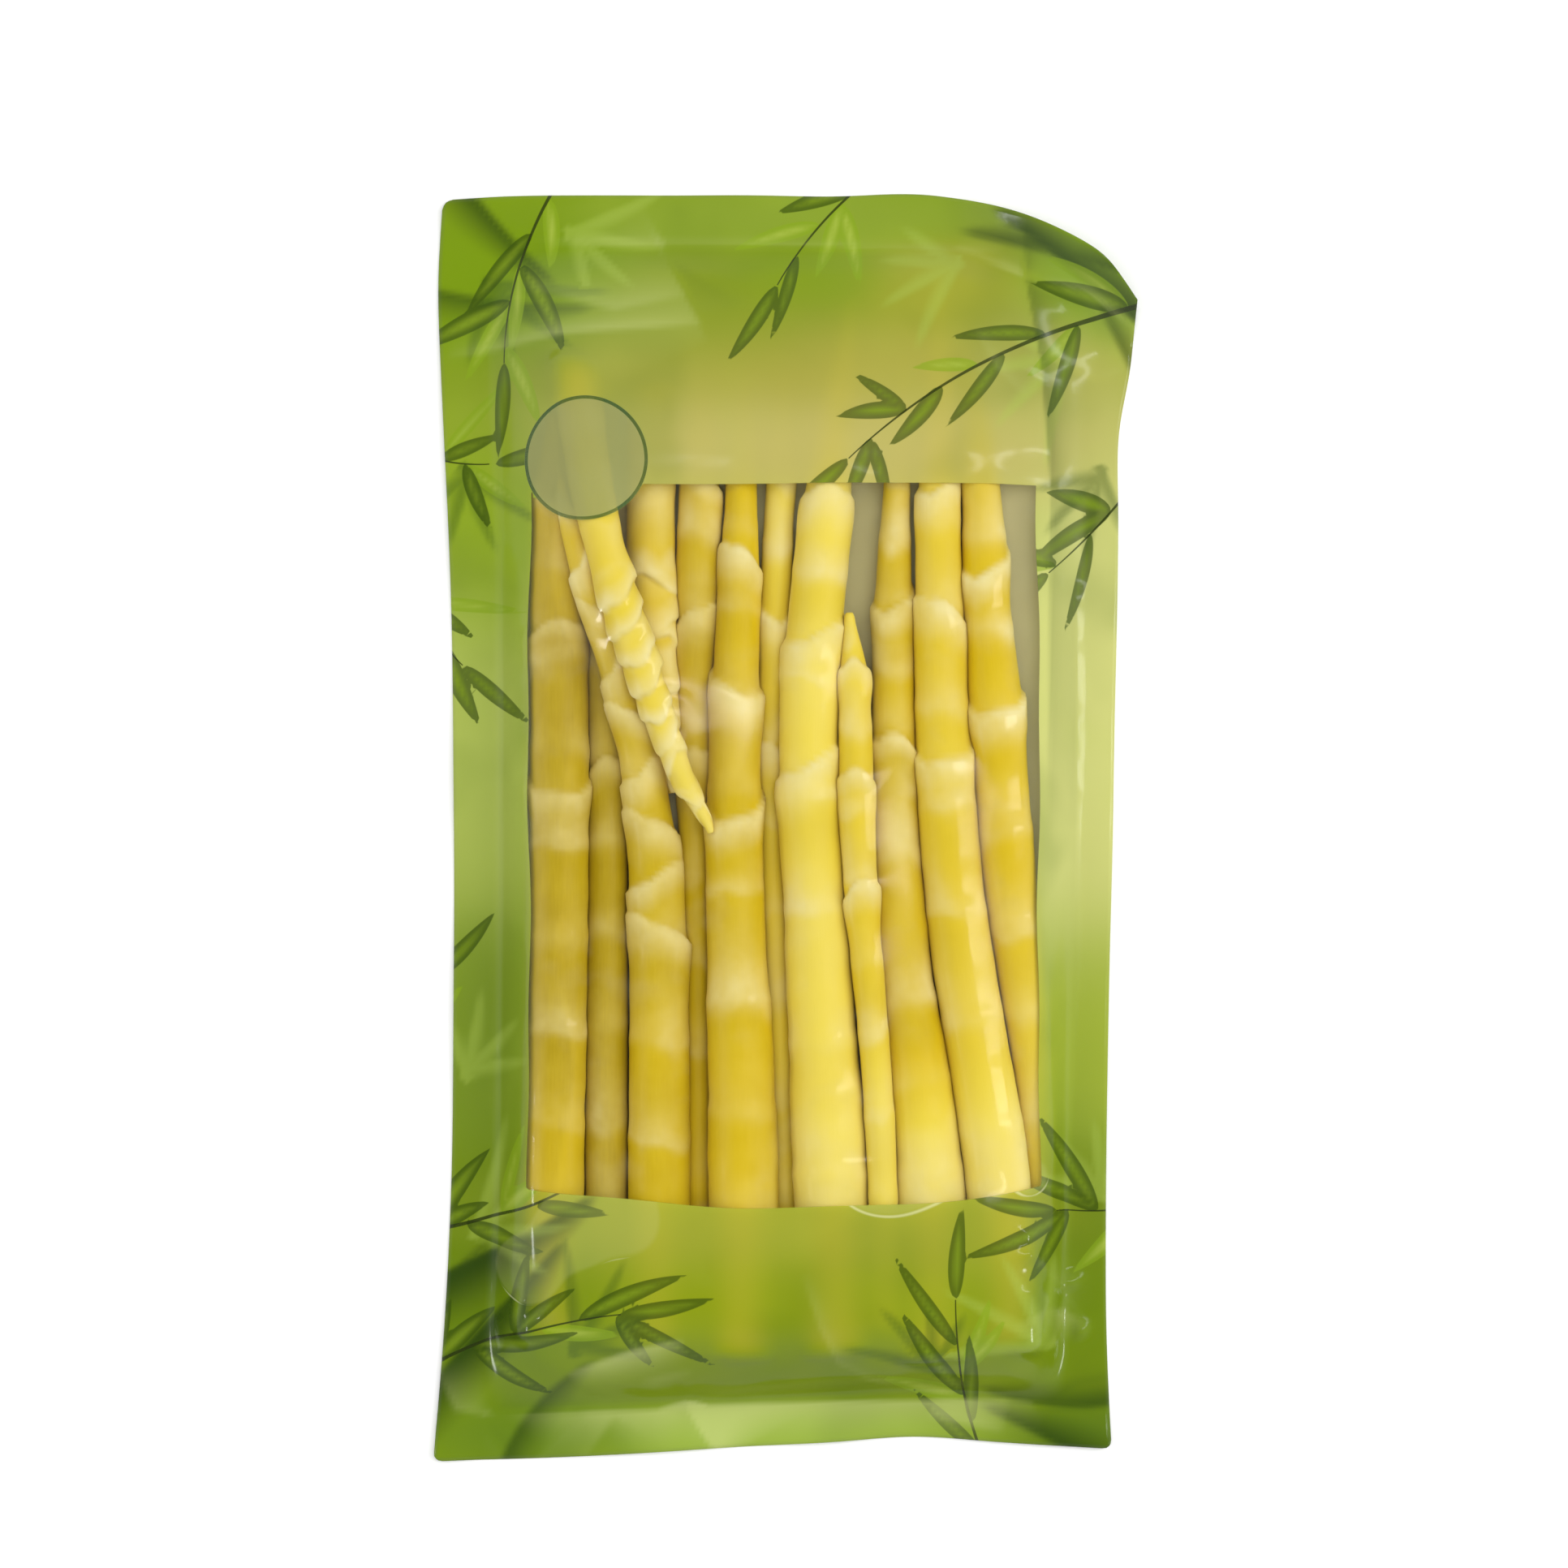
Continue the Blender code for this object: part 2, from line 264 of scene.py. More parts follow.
def make_blank():
    """A closed cylinder, one unit long and thick, with many rings and inset ends."""
    bpy.ops.object.select_all(action="DESELECT")
    bpy.ops.mesh.primitive_cylinder_add(vertices=SIDES, radius=1.0, depth=1.0,
                                        location=(0.0, 0.0, 0.5))
    blank = bpy.context.active_object
    blank.name = "blank_stalk"
    bpy.ops.object.transform_apply(location=True)
    bpy.ops.object.mode_set(mode="EDIT")
    bpy.ops.mesh.select_mode(type="EDGE")
    for cuts in RING_CUTS:
        bpy.ops.mesh.select_all(action="DESELECT")
        mesh = bmesh.from_edit_mesh(blank.data)
        for edge in mesh.edges:
            edge.select_set(abs(edge.verts[0].co.z - edge.verts[1].co.z) > 0.1)
        bpy.ops.mesh.subdivide(number_cuts=cuts)
    for thickness in END_INSETS:
        bpy.ops.mesh.select_mode(type="FACE")
        bpy.ops.mesh.select_all(action="DESELECT")
        mesh = bmesh.from_edit_mesh(blank.data)
        for face in mesh.faces:
            face.select_set(len(face.verts) == SIDES)
        bpy.ops.mesh.inset(thickness=thickness)
    bpy.ops.object.mode_set(mode="OBJECT")
    return blank


blank_stalk = make_blank()
print("blank stalk:", len(blank_stalk.data.polygons), "faces")

# %% What differs from shoot to shoot
# One joint's place along the pouch and the spacing of the joints at the butt, in mm.  Then how
# pale the flesh is along most of its length and at the butt: below 0 is deeper yellow, above 1
# turns to cream.  These tones are partly the flesh's own and partly painted shade and painted
# light: shoot_01 and shoot_02, which lie in shade, are painted deeper, and shoot_06 and shoot_08,
# which lie deep between their neighbours, are painted paler.  Then how many sheath edges show
# towards the tip, and how plump the shoot is against its imported solid, whose flat faces lie a
# little inside the round flesh.
JOINTS = {
    "shoot_01": (-47, 22, -0.95, -0.4, 3, 1.03), "shoot_02": (-24, 22, -1.1, -1.0, 2, 1.05),
    "shoot_03": (-49.5, 23, -0.3, -0.1, 9, 1.06), "shoot_04": (-30, 24, -0.4, -0.1, 3, 1.05),
    "shoot_05": (-14, 26, -0.1, 0.1, 4, 1.03), "shoot_06": (-40, 24, 0.75, 0.75, 3, 1.08),
    "shoot_07": (-19, 31, 1.0, 1.25, 4, 1.03), "shoot_08": (-48, 19, 0.45, 1.1, 3, 1.06),
    "shoot_09": (-40, 20, -0.15, 1.4, 3, 1.06), "shoot_10": (-44, 26, 0.4, 1.35, 4, 1.06),
    "shoot_11": (-43, 24, 0.1, 0.5, 3, 1.08), "shoot_12": (70, 13, 0.5, 0.5, 9, 1.04),
    "shoot_13": (60, 20, 0.2, 0.2, 7, 1.04),
}


def joint_places(node, along, y, radius):
    """Distances from the butt at which a shoot has joints, closer together near the tip."""
    first, spacing, *_ = JOINTS[node]
    start = np.interp(0.0, *sorted_pair(y - first * MM, along))
    places = [start]
    while places[-1] < along[-1] - 6 * MM:
        share = np.interp(places[-1], along, radius) / radius.max()
        places.append(places[-1] + spacing * MM * (0.35 + 0.65 * share))
    while places[0] > 8 * MM:
        places.insert(0, places[0] - spacing * MM)
    return np.array([p for p in places if 2 * MM < p < along[-1] - 3 * MM])


def sorted_pair(keys, values):
    """Both arrays in the order of rising keys, as np.interp needs them."""
    order = np.argsort(keys)
    return keys[order], values[order]


# %% Joints and sheaths
JOINT_SWELL = 0.030          # share of the radius that a joint stands out
JOINT_GROOVE = 0.018         # and that the stalk is drawn in past it
SHEATHED = 0.62              # share of the length, from the tip, that has sheath edges
SHEATH_EDGE = 0.9 * MM       # how softly a sheath's edge drops to the stalk
SHEATH_SLANT = 3.6 * MM      # how far its edge runs up one side of the stalk


def wobble(random, angle, turns=3):
    """A smooth random curve round the stalk, about -1 to 1."""
    total = np.zeros_like(angle)
    for turn in range(1, turns + 1):
        total += random.uniform(-1, 1) / turn * np.cos(turn * angle + random.uniform(0, tau))
    return total


def mark_joints(random, s, angle, joints):
    """How much the joints swell the stalk at each point, and how cream and deep they make it."""
    swell = np.zeros_like(s)
    cream = np.zeros_like(s)
    deep = np.zeros_like(s)
    for place in joints:
        ring = s - place - 0.4 * MM * wobble(random, angle)
        size = random.uniform(0.6, 1.0)
        swell += JOINT_SWELL * size * np.exp(-(ring / (2.0 * MM)) ** 2)
        swell -= JOINT_GROOVE * size * np.exp(-((ring - 4 * MM) / (4 * MM)) ** 2)
        ring = ring - 2.0 * MM * wobble(random, angle, 5)
        above = random.uniform(4.0, 11.0) * MM * (1 + 0.4 * wobble(random, angle, 4))
        below = random.uniform(1.2, 3.2) * MM
        patchy = np.clip(0.7 + 0.5 * wobble(random, angle, 4), 0.1, 1.0)
        band = np.where(ring > 0, np.abs(ring / above) ** 1.5, (ring / below) ** 2)
        cream = np.maximum(cream, random.uniform(0.15, 0.85) * patchy * np.exp(-band))
        deep = np.maximum(deep, random.uniform(0.0, 0.25) * patchy
                          * np.exp(-((ring + 8 * MM) / (8 * MM)) ** 2))
    return swell, cream, deep


def mark_sheaths(random, s, angle, node, length):
    """How far the sheaths stand out at each point, and how cream their edges are."""
    _, spacing, _, _, sheaths, _ = JOINTS[node]
    step = np.zeros_like(s)
    cream = np.zeros_like(s)
    for count in range(sheaths):
        share_up = 1 - (count + 0.6) / (sheaths + 1) * SHEATHED
        facing = random.uniform(0, tau) if node != "shoot_03" else pi * (count % 2) + 0.3
        edge = length * share_up + SHEATH_SLANT * np.cos(angle - facing) \
            + 1.0 * MM * np.abs(np.sin(2 * angle + facing)) + 0.5 * MM * wobble(random, angle, 4)
        reach = spacing * MM * random.uniform(0.6, 0.9)
        before = (s - edge) / reach + 1
        past = np.exp(-(np.maximum(s - edge, 0.0) / SHEATH_EDGE) ** 2)
        sheath = np.where(s < edge, smoothstep(0.0, 1.0, before), past)
        step = np.maximum(step, sheath ** 2 * random.uniform(0.7, 1.15) * MM)
        cream = np.maximum(cream, 0.8 * sheath * smoothstep(0.4, 1.0, before))
    return step, cream


# %% Shape one shoot
END_ROUNDING = 1.8 * MM
LYING = 0.35 * MM            # lowest height of the flesh, on the back film
BUTT = (80 * MM, 40 * MM)    # way from the butt over which its own tone comes in


def bend_stalk(spine, along, s, angle, reach):
    """The stalk's points, set off from the middle line at their angle and reach."""
    middle = [np.interp(s, along, spine[:, column]) for column in range(3)]
    heading = np.arctan2(np.gradient(spine[:, 1]), np.gradient(spine[:, 0]))
    turn = np.interp(s, along, heading)
    aside = reach * np.cos(angle)
    points = np.stack((middle[0] - aside * np.sin(turn), middle[1] + aside * np.cos(turn),
                       middle[2] + reach * np.sin(angle)), axis=-1)
    points[:, 2] = np.maximum(points[:, 2], LYING)
    return points


def make_shoot(node):
    """Copy the blank stalk and bend, thicken and mark it as this shoot."""
    random = np.random.default_rng(SHOOT_NODES.index(node) + 11)
    spine = spines[node]
    steps = np.linalg.norm(np.diff(spine[:, :3], axis=0), axis=1)
    along = np.concatenate(([0.0], np.cumsum(steps)))
    length = along[-1]
    _, _, pale, butt_pale, _, plump = JOINTS[node]

    piece = blank_stalk.copy()
    piece.data = blank_stalk.data.copy()
    piece.name = piece.data.name = node + "_flesh"
    bpy.context.scene.collection.objects.link(piece)
    unit = read_points(piece)
    share = unit[:, 2]
    s = length * (share - 0.25 * np.sin(tau * share) / tau)     # rings closer at both ends
    angle = np.arctan2(unit[:, 1], unit[:, 0])
    inset = np.hypot(unit[:, 0], unit[:, 1])

    joints = joint_places(node, along, spine[:, 1], spine[:, 3])
    swell, cream, deep = mark_joints(random, s, angle, joints)
    step, sheath_cream = mark_sheaths(random, s, angle, node, length)
    cream = np.maximum(cream, sheath_cream)
    lumps = 0.02 * wobble(random, tau * s / (34 * MM), 4) + 0.012 * wobble(random, angle, 3)
    near_end = 1 - np.clip(np.minimum(s, length - s) / END_ROUNDING, 0.0, 1.0)
    radius = plump * np.interp(s, along, spine[:, 3])
    radius = radius * (1 + swell + lumps) + step * np.minimum(1.0, radius / (4 * MM))
    radius *= 0.68 + 0.32 * np.sqrt(1 - near_end ** 2)
    write_points(piece, bend_stalk(spine, along, s, angle, radius * inset))

    tip = smoothstep(0.72, 1.0, s / length)
    strips = wobble(random, angle + 0.5 * wobble(random, tau * s / (90 * MM)), 4)
    # tone: the flesh's own paleness, with the painted shade and painted light that JOINTS sets for
    # whole shoots
    tone = pale + (butt_pale - pale) * smoothstep(*BUTT, s) + 0.4 * tip
    tone += 0.3 * smoothstep(0.1, 0.6, strips) - 0.12 + 0.1 * wobble(random, tau * s / (60 * MM))
    cream *= 1 - 0.5 * np.clip(-tone, 0, 1)
    store(piece, "cream", np.maximum(cream, np.clip(tone - 0.8, 0, 1)))
    store(piece, "deep", np.clip(deep + np.maximum(-tone, 0), 0, 1))
    store(piece, "pale", np.clip(tone, 0, 1))
    store(piece, "along", s / MM)
    store(piece, "around", angle * radius.max() / MM)
    piece.data.shade_smooth()
    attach(piece, "root")
    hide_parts(node)
    return piece


# %% [markdown]
# The flesh is pale golden, with soft cream bands just above each joint and deeper yellow below
# it, and fine fibres along it.  It is wet, so it has a soft gloss.

# %% Moist bamboo flesh
def make_flesh():
    """Peeled bamboo shoot: golden to cream, fibrous, moist."""
    material, add = new_material("moist bamboo flesh")
    cream, deep, pale, along, around = (
        add("Attribute", attribute_name=name).outputs["Fac"]
        for name in ("cream", "deep", "pale", "along", "around"))
    place = add("TexCoord").outputs["Object"]
    clouds = add("TexNoise", {"Vector": place, "Scale": 130.0, "Detail": 3.0})
    shortened = add("Math", {0: along, 1: 0.05}, operation="MULTIPLY")
    fibre_place = add("CombineXYZ", {"X": around, "Y": shortened})
    fibres = add("TexNoise", {"Vector": fibre_place, "Scale": 2.2, "Detail": 4.0,
                              "Roughness": 0.6})
    uneven = add("MapRange", {0: clouds, 1: 0.3, 2: 0.7, 3: 0.0, 4: 0.14})
    ragged = add("MapRange", {0: clouds, 1: 0.3, 2: 0.7, 3: 0.55, 4: 1.15})
    banded = add("Math", {0: cream, 1: ragged}, operation="MULTIPLY", use_clamp=True)
    streak = add("MapRange", {0: fibres, 1: 0.3, 2: 0.7, 3: 0.0, 4: 0.12})

    colour = linear("#d2b300")
    # deep and pale carry the flesh's own tone and also painted shade and painted light set for whole
    # shoots
    for amount, code in ((pale, "#e6d150"), (deep, "#a88e00"), (uneven, "#e6cd38"),
                         (banded, "#e6daa8"), (streak, "#e6cc3c")):
        colour = add("Mix", {0: amount, 6: colour, 7: linear(code)}, data_type="RGBA").outputs[2]
    bump = add("Bump", {"Height": fibres, "Strength": 0.25, "Distance": 0.12 * MM})
    shader = add("BsdfPrincipled", {
        "Base Color": colour, "Roughness": 0.42, "Normal": bump, "Coat Weight": 0.1,
        "Coat Roughness": 0.2, "Specular IOR Level": 0.25})
    add("OutputMaterial", {"Surface": shader})
    return material


flesh = make_flesh()
shoots = {}
for node in SHOOT_NODES:
    shoots[node] = make_shoot(node)
    shoots[node].data.materials.clear()
    shoots[node].data.materials.append(flesh)
    print(node, "has", len(shoots[node].data.vertices), "points")
bpy.data.objects.remove(blank_stalk)

# %% [markdown]
# Packed shoots are soft and press on each other.  Where two would overlap, each gives way by
# half the depth, along the shortest way out, which leaves a flat on both.

# %% Press the shoots together
PRESS_REACH = 2.5 * MM       # deeper than any two shoots overlap
PRESS_ROUNDS = 3


def press(shoots):
    """Move the points of each shoot that lie inside another half way out of it."""
    trees = {node: BVHTree.FromPolygons([vertex.co.copy() for vertex in shoot.data.vertices],
                                        [list(face.vertices) for face in shoot.data.polygons])
             for node, shoot in shoots.items()}
    before = {node: read_points(shoot) for node, shoot in shoots.items()}
    deepest = 0.0
    for node, shoot in shoots.items():
        points = before[node].copy()
        for other, tree in trees.items():
            low, high = before[other].min(axis=0), before[other].max(axis=0)
            near_other = ((before[node] > low) & (before[node] < high)).all(axis=1)
            for index in np.flatnonzero(near_other if other != node else []):
                point = Vector(before[node][index])
                surface, normal, _, depth = tree.find_nearest(point, PRESS_REACH)
                if surface is not None and (point - surface).dot(normal) < 0:
                    points[index] += np.array(surface - point) * 0.5
                    deepest = max(deepest, depth)
        write_points(shoot, points)
    return deepest


for turn in range(PRESS_ROUNDS):
    print("round", turn, "deepest overlap", round(press(shoots) / MM, 2), "mm")

# %% [markdown]
# ## The two films
# Both films were cut as one flat rectangle and welded round the edge, so they share one
# outline.  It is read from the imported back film.  Four edge curves are blended across the
# middle (a Coons patch), which gives every point of a grid its place on the pouch.

# %% Outline of the pouch
FILM = 0.12 * MM             # thickness of one film
WIDE, LONG, WELD = 160, 298, 12      # width and length of the pouch and width of a weld, in mm
SIDE_WELD = WELD / WIDE      # share of the width that each side weld takes
END_WELD = WELD / LONG       # share of the length that each end weld takes
CORNER_RADIUS = 2.2 * MM


def read_rim():
    """The outline's points in order round the pouch, from the back film's side walls."""
    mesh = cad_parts["back_film"].data
    points = read_points(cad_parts["back_film"])
    wall = {index for face in mesh.polygons if abs(face.normal.z) < 0.5
            for index in face.vertices}
    rim = np.unique(np.round(points[sorted(wall), :2], 5), axis=0)
    return rim[np.argsort(np.arctan2(rim[:, 1], rim[:, 0]))]


rim = read_rim()
corners = {"bottom_left": np.argmin(rim.sum(axis=1)), "top_right": np.argmax(rim[:, 0]),
           "bottom_right": np.argmax(rim[:, 0] - rim[:, 1]),
           "top_left": np.argmin(rim[:, 0] - rim[:, 1])}
print("rim points:", len(rim), {name: rim[i] / MM for name, i in corners.items()})


def edge_curve(start, end, shares):
    """Points on the rim from one corner to the next, at shares of the way."""
    first, last = corners[start], corners[end]
    if (last - first) % len(rim) > len(rim) / 2:
        return edge_curve(end, start, 1 - shares)
    steps = (first + np.arange((last - first) % len(rim) + 1)) % len(rim)
    line = rim[steps]
    along = np.concatenate(([0.0], np.cumsum(np.linalg.norm(np.diff(line, axis=0), axis=1))))
    even = np.linspace(0, along[-1], 400)
    dense = np.stack([np.interp(even, along, line[:, axis]) for axis in (0, 1)], axis=-1)
    for _ in range(60):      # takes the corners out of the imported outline's short straight edges
        dense[1:-1] = (dense[:-2] + dense[2:]) / 2
    return np.stack([np.interp(shares * along[-1], even, dense[:, axis]) for axis in (0, 1)],
                    axis=-1)


# %% A grid that fills the outline
def film_grid(cells, name):
    """A flat grid object, where its points are in the grid, and for each crossing its x and y
    and its share of the way across and along."""
    bpy.ops.mesh.primitive_grid_add(x_subdivisions=cells[0], y_subdivisions=cells[1], size=1.0)
    piece = bpy.context.active_object
    piece.name = piece.data.name = name
    unit = read_points(piece)[:, :2] + 0.5
    index = (np.rint(unit[:, 0] * cells[0]).astype(int),
             np.rint(unit[:, 1] * cells[1]).astype(int))
    u = np.linspace(0, 1, cells[0] + 1)
    v = np.linspace(0, 1, cells[1] + 1)
    bottom = edge_curve("bottom_left", "bottom_right", u)[:, None, :]
    top = edge_curve("top_left", "top_right", u)[:, None, :]
    left = edge_curve("bottom_left", "top_left", v)[None, :, :]
    right = edge_curve("bottom_right", "top_right", v)[None, :, :]
    across, up = u[:, None, None], v[None, :, None]
    corner_mix = ((1 - across) * (1 - up) * bottom[0, 0] + across * (1 - up) * bottom[-1, 0]
                  + (1 - across) * up * top[0, 0] + across * up * top[-1, 0])
    spread = (1 - up) * bottom + up * top + (1 - across) * left + across * right - corner_mix
    x, y = spread[..., 0], spread[..., 1]
    round_corners(x, y)
    return piece, index, x, y, u[:, None] + 0 * y, v[None, :] + 0 * x


def round_corners(x, y):
    """Pull the points at three square corners back onto a small arc."""
    for i, j, right, up in ((0, 0, 1, 1), (-1, 0, -1, 1), (0, -1, 1, -1)):
        aside = (x - x[i, j]) * right - CORNER_RADIUS
        above = (y - y[i, j]) * up - CORNER_RADIUS
        reach = np.hypot(aside, above)
        outside = (aside < 0) & (above < 0) & (reach > CORNER_RADIUS)
        pull = np.where(outside, 1 - CORNER_RADIUS / np.maximum(reach, CORNER_RADIUS), 0.0)
        x -= pull * aside * right
        y -= pull * above * up


# %% [markdown]
# ## How the pouch lies
# The back film lies on the table.  The welded edge waves a little, and the top right corner
# curls up.  The front film is stretched over the shoots: every point of its grid moves again
# and again to the mean of its four neighbours, less a small sag, but never below the shoot
# that a ray from above finds there.  That is what a thin film under a little tension does.

# %% Rise of the welded edge
CURL_START = (36 * MM, 112 * MM)
CURL_REACH = 25 * MM
CURL_RISE = 9 * MM
SIDE_WAVE = 0.9 * MM         # how high the side welds wave, and the end welds
END_WAVE = 1.1 * MM


def edge_lift(x, y, u, v):
    """Height of the back film above the table."""
    share = np.maximum(x - CURL_START[0], 0) * np.maximum(y - CURL_START[1], 0) / CURL_REACH ** 2
    lift = CURL_RISE * smoothstep(0.0, 2.0, share) * 2
    near_side = smoothstep(SIDE_WELD, 0.0, np.minimum(u, 1 - u))
    near_end = smoothstep(END_WELD, 0.0, np.minimum(v, 1 - v))
    wave_side = 0.5 + 0.5 * np.sin(y / (13 * MM) + 1.7 * np.sin(y / (41 * MM)) + 2 * u)
    wave_end = 0.5 + 0.5 * np.sin(x / (9 * MM) + 1.5 * np.sin(x / (23 * MM)) + 3 * v)
    return lift + SIDE_WAVE * near_side * wave_side + END_WAVE * near_end * wave_end


# %% What the film can rest on
def shoot_heights(x, y):
    """Height of the highest shoot under each point, 0 where there is none."""
    corner_list, face_list = [], []
    for shoot in shoots.values():
        start = len(corner_list)
        corner_list.extend(vertex.co.copy() for vertex in shoot.data.vertices)
        face_list.extend([start + i for i in face.vertices] for face in shoot.data.polygons)
    tree = BVHTree.FromPolygons(corner_list, face_list)
    down = Vector((0, 0, -1))
    heights = np.zeros(x.size)
    for index, (px, py) in enumerate(zip(x.ravel(), y.ravel())):
        hit = tree.ray_cast(Vector((px, py, 0.1)), down)[0]
        if hit:
            heights[index] = hit.z
    return heights.reshape(x.shape)


def widen(heights):
    """The highest of each point and its eight neighbours, so that no rim pokes through."""
    return np.max(neighbours(heights), axis=0)


# %% How a film settles
def relax(film, lowest, pinned, steps, sag):
    """Let a stretched film settle on what is under it."""
    for _ in range(steps):
        around = film[:-2, 1:-1] + film[2:, 1:-1] + film[1:-1, :-2] + film[1:-1, 2:]
        film[1:-1, 1:-1] = np.maximum(lowest[1:-1, 1:-1], around / 4 - sag)
        film[pinned] = lowest[pinned]
    return film


def resample(values, shape):
    """Values of a grid at the crossings of a finer or coarser one."""
    rows = np.linspace(0, 1, values.shape[0])
    columns = np.linspace(0, 1, values.shape[1])
    part = np.array([np.interp(np.linspace(0, 1, shape[1]), columns, row) for row in values])
    return np.array([np.interp(np.linspace(0, 1, shape[0]), rows, column)
                     for column in part.T]).T


def blur(values, passes):
    """Soften a grid of values."""
    for _ in range(passes):
        padded = np.pad(values, 1, mode="edge")
        values = (padded[:-2, 1:-1] + padded[2:, 1:-1] + padded[1:-1, :-2]
                  + padded[1:-1, 2:] + 2 * values) / 6
    return values


# %% Stretch the front film over the shoots
FILM_CELLS = (144, 260)
WELD_GAP = 0.1 * MM          # between the films where they are welded
CLEARANCE = FILM + 0.2 * MM
COARSE_TURNS, COARSE_SAG = 1500, 0.05 * MM      # first on a coarse grid, which is quick
FINE_TURNS, FINE_SAG = 900, 0.004 * MM
END_SLACK = 1.8 * MM         # how far the film stands off past the ends of the window

front, front_index, x, y, u, v = film_grid(FILM_CELLS, "printed_front_film")
side_share = np.minimum(u, 1 - u)
end_share = np.minimum(v, 1 - v)
welded = (side_share < SIDE_WELD) | (end_share < END_WELD)
lift = edge_lift(x, y, u, v)
sealed = lift + 2 * FILM + WELD_GAP
under = shoot_heights(x, y)
support = widen(under)
lowest = np.maximum(sealed, np.where(support > 0, support + CLEARANCE, 0))
# past the window the film bridges the hollows between the shoots
shoulder = blur(widen(widen(support)), 6) + CLEARANCE
past_window = smoothstep(-96 * MM, -108 * MM, y) + smoothstep(92 * MM, 100 * MM, y)
lowest = np.maximum(lowest, shoulder * np.clip(past_window, 0, 1))
lowest[welded] = sealed[welded]

coarse = tuple(n // 4 + 1 for n in FILM_CELLS)
film = relax(resample(lowest, coarse), resample(lowest, coarse),
             resample(welded * 1.0, coarse) > 0.5, COARSE_TURNS, COARSE_SAG)
film = relax(np.maximum(resample(film, x.shape), lowest), lowest, welded, FINE_TURNS, FINE_SAG)
ends = 1 - smoothstep(-84 * MM, -76 * MM, y) * smoothstep(90 * MM, 78 * MM, y)
ends *= smoothstep(1.0, 1.6, np.minimum(side_share / SIDE_WELD, end_share / END_WELD))
film = np.maximum(blur(film, 3), lowest)
slackened = np.maximum(blur(film + END_SLACK * ends, 60), lowest)
film = film * (1 - ends) + ends * blur(slackened, 6)
film = np.maximum(film, lowest)
print("film stands", round(film.max() / MM, 1), "mm high")

# %% [markdown]
# ## Creases
# Film that was flat can't follow a bulge without creases.  They run straight in from the welds,
# cross the corners, and follow the fold where the top turns down to the side weld.  Each one is
# a short line with a height, positive for a ridge and negative for a valley, and a width over
# which it fades.  Some are listed one by one and many small ones are strewn by a fixed seed.

# %% Creases listed one by one
# points of each line in mm, then its height and its width in mm
FOLDS = [
    ([(-70, 138.5), (20, 138.5), (52, 135.5), (70, 127), (81, 116)], 0.35, 0.8),
    ([(56, 143), (58, 128), (61, 108), (62.5, 84), (61.5, 30), (61.5, -80)], 0.45, 1.0),
    ([(66, 78), (68, 30), (67.5, -60)], 0.25, 1.6),
    ([(-22, -130), (-13, -132.2), (0, -130.3), (12, -128.8), (51, -131)], 0.7, 1.3),
    ([(-70, -138), (-30, -136.8), (-19, -135.6), (0, -135), (60, -134.8)], 0.35, 0.8),
    ([(-24, -126), (-23, -135), (-20, -144)], 0.8, 1.2),
    ([(-23, -135), (-40, -130), (-48, -124)], 0.45, 1.4),
    ([(-23, -135), (-8, -131), (4, -124)], 0.4, 1.5),
    ([(-60, -122), (-46, -131), (-33, -138)], 0.45, 1.3),
    ([(-64, -108), (-60, -118), (-57, -128)], 0.5, 1.2),
    ([(57, -96), (63, -104), (66, -112), (72, -120)], 0.6, 1.0),
    ([(66, -112), (60, -116), (50, -117)], 0.4, 1.2),
    ([(60, -134), (50, -124), (44, -112)], 0.35, 1.5),
    ([(0, -104), (14, -120), (30, -134)], 0.3, 1.4),
    ([(-78, 118), (-52, 122), (-24, 121), (-6, 123)], 0.35, 1.2),
    ([(-58, 128), (-40, 134), (-18, 131), (0, 126)], 0.3, 1.4),
    ([(40, 132), (54, 120), (63, 104)], 0.4, 1.3),
    ([(50, 112), (62, 108), (74, 110)], 0.3, 1.0),
    ([(61, 62), (72, 58)], 0.3, 1.4),
    ([(-62, 66), (-72, 70)], 0.4, 1.5),
    ([(-62, 12), (-74, 8)], 0.3, 1.6),
    ([(-62, -52), (-75, -48)], 0.35, 1.5),
    ([(-61.8, -109), (-59, -110.8)], 2.6, 1.6), ([(-57, -112.4), (-54.8, -114.4)], 2.4, 1.5),
    ([(57.4, -97.5), (58.6, -101.2)], 2.2, 1.6), ([(57.8, -93.6), (57, -95.4)], 1.6, 1.2),
    ([(67, -105.6), (68.2, -109)], 1.8, 1.5), ([(60.8, -110.6), (64.4, -111.4)], 1.8, 1.4),
    ([(69.2, -118.6), (70.8, -120)], 1.8, 1.3),
]
print("creases placed by hand:", len(FOLDS))

# %% Raise the creases
STREWN = 90
CALM_TOP = (60 * MM, 85 * MM)    # where the film comes to be drawn smoother, near the top


def distance_to_line(x, y, line):
    """Distance to a broken line, the share of its length at the nearest point, and 1 on its
    left or -1 on its right."""
    line = np.array(line) * MM
    steps = np.diff(line, axis=0)
    lengths = np.hypot(*steps.T)
    passed = np.concatenate(([0.0], np.cumsum(lengths)))
    nearest = np.full(x.shape, 1.0)
    share = np.zeros(x.shape)
    side = np.zeros(x.shape)
    for (ax, ay), (dx, dy), length, start in zip(line, steps, lengths, passed):
        t = np.clip(((x - ax) * dx + (y - ay) * dy) / length ** 2, 0, 1)
        gap = np.hypot(x - ax - t * dx, y - ay - t * dy)
        closer = gap < nearest
        nearest = np.where(closer, gap, nearest)
        share = np.where(closer, (start + t * length) / passed[-1], share)
        side = np.where(closer, np.sign((y - ay) * dx - (x - ax) * dy), side)
    return nearest, share, side


def fade_ends(share):
    """1 in the middle of a line, falling to 0 at both ends."""
    return np.sqrt(np.clip(4 * share * (1 - share), 0, 1))


def crease(x, y, line, height, width):
    """Height of one crease at every point."""
    gap, share, _ = distance_to_line(x, y, line)
    return height * MM * fade_ends(share) * np.exp(-np.hypot(gap / (width * MM), 0.3) + 0.3)


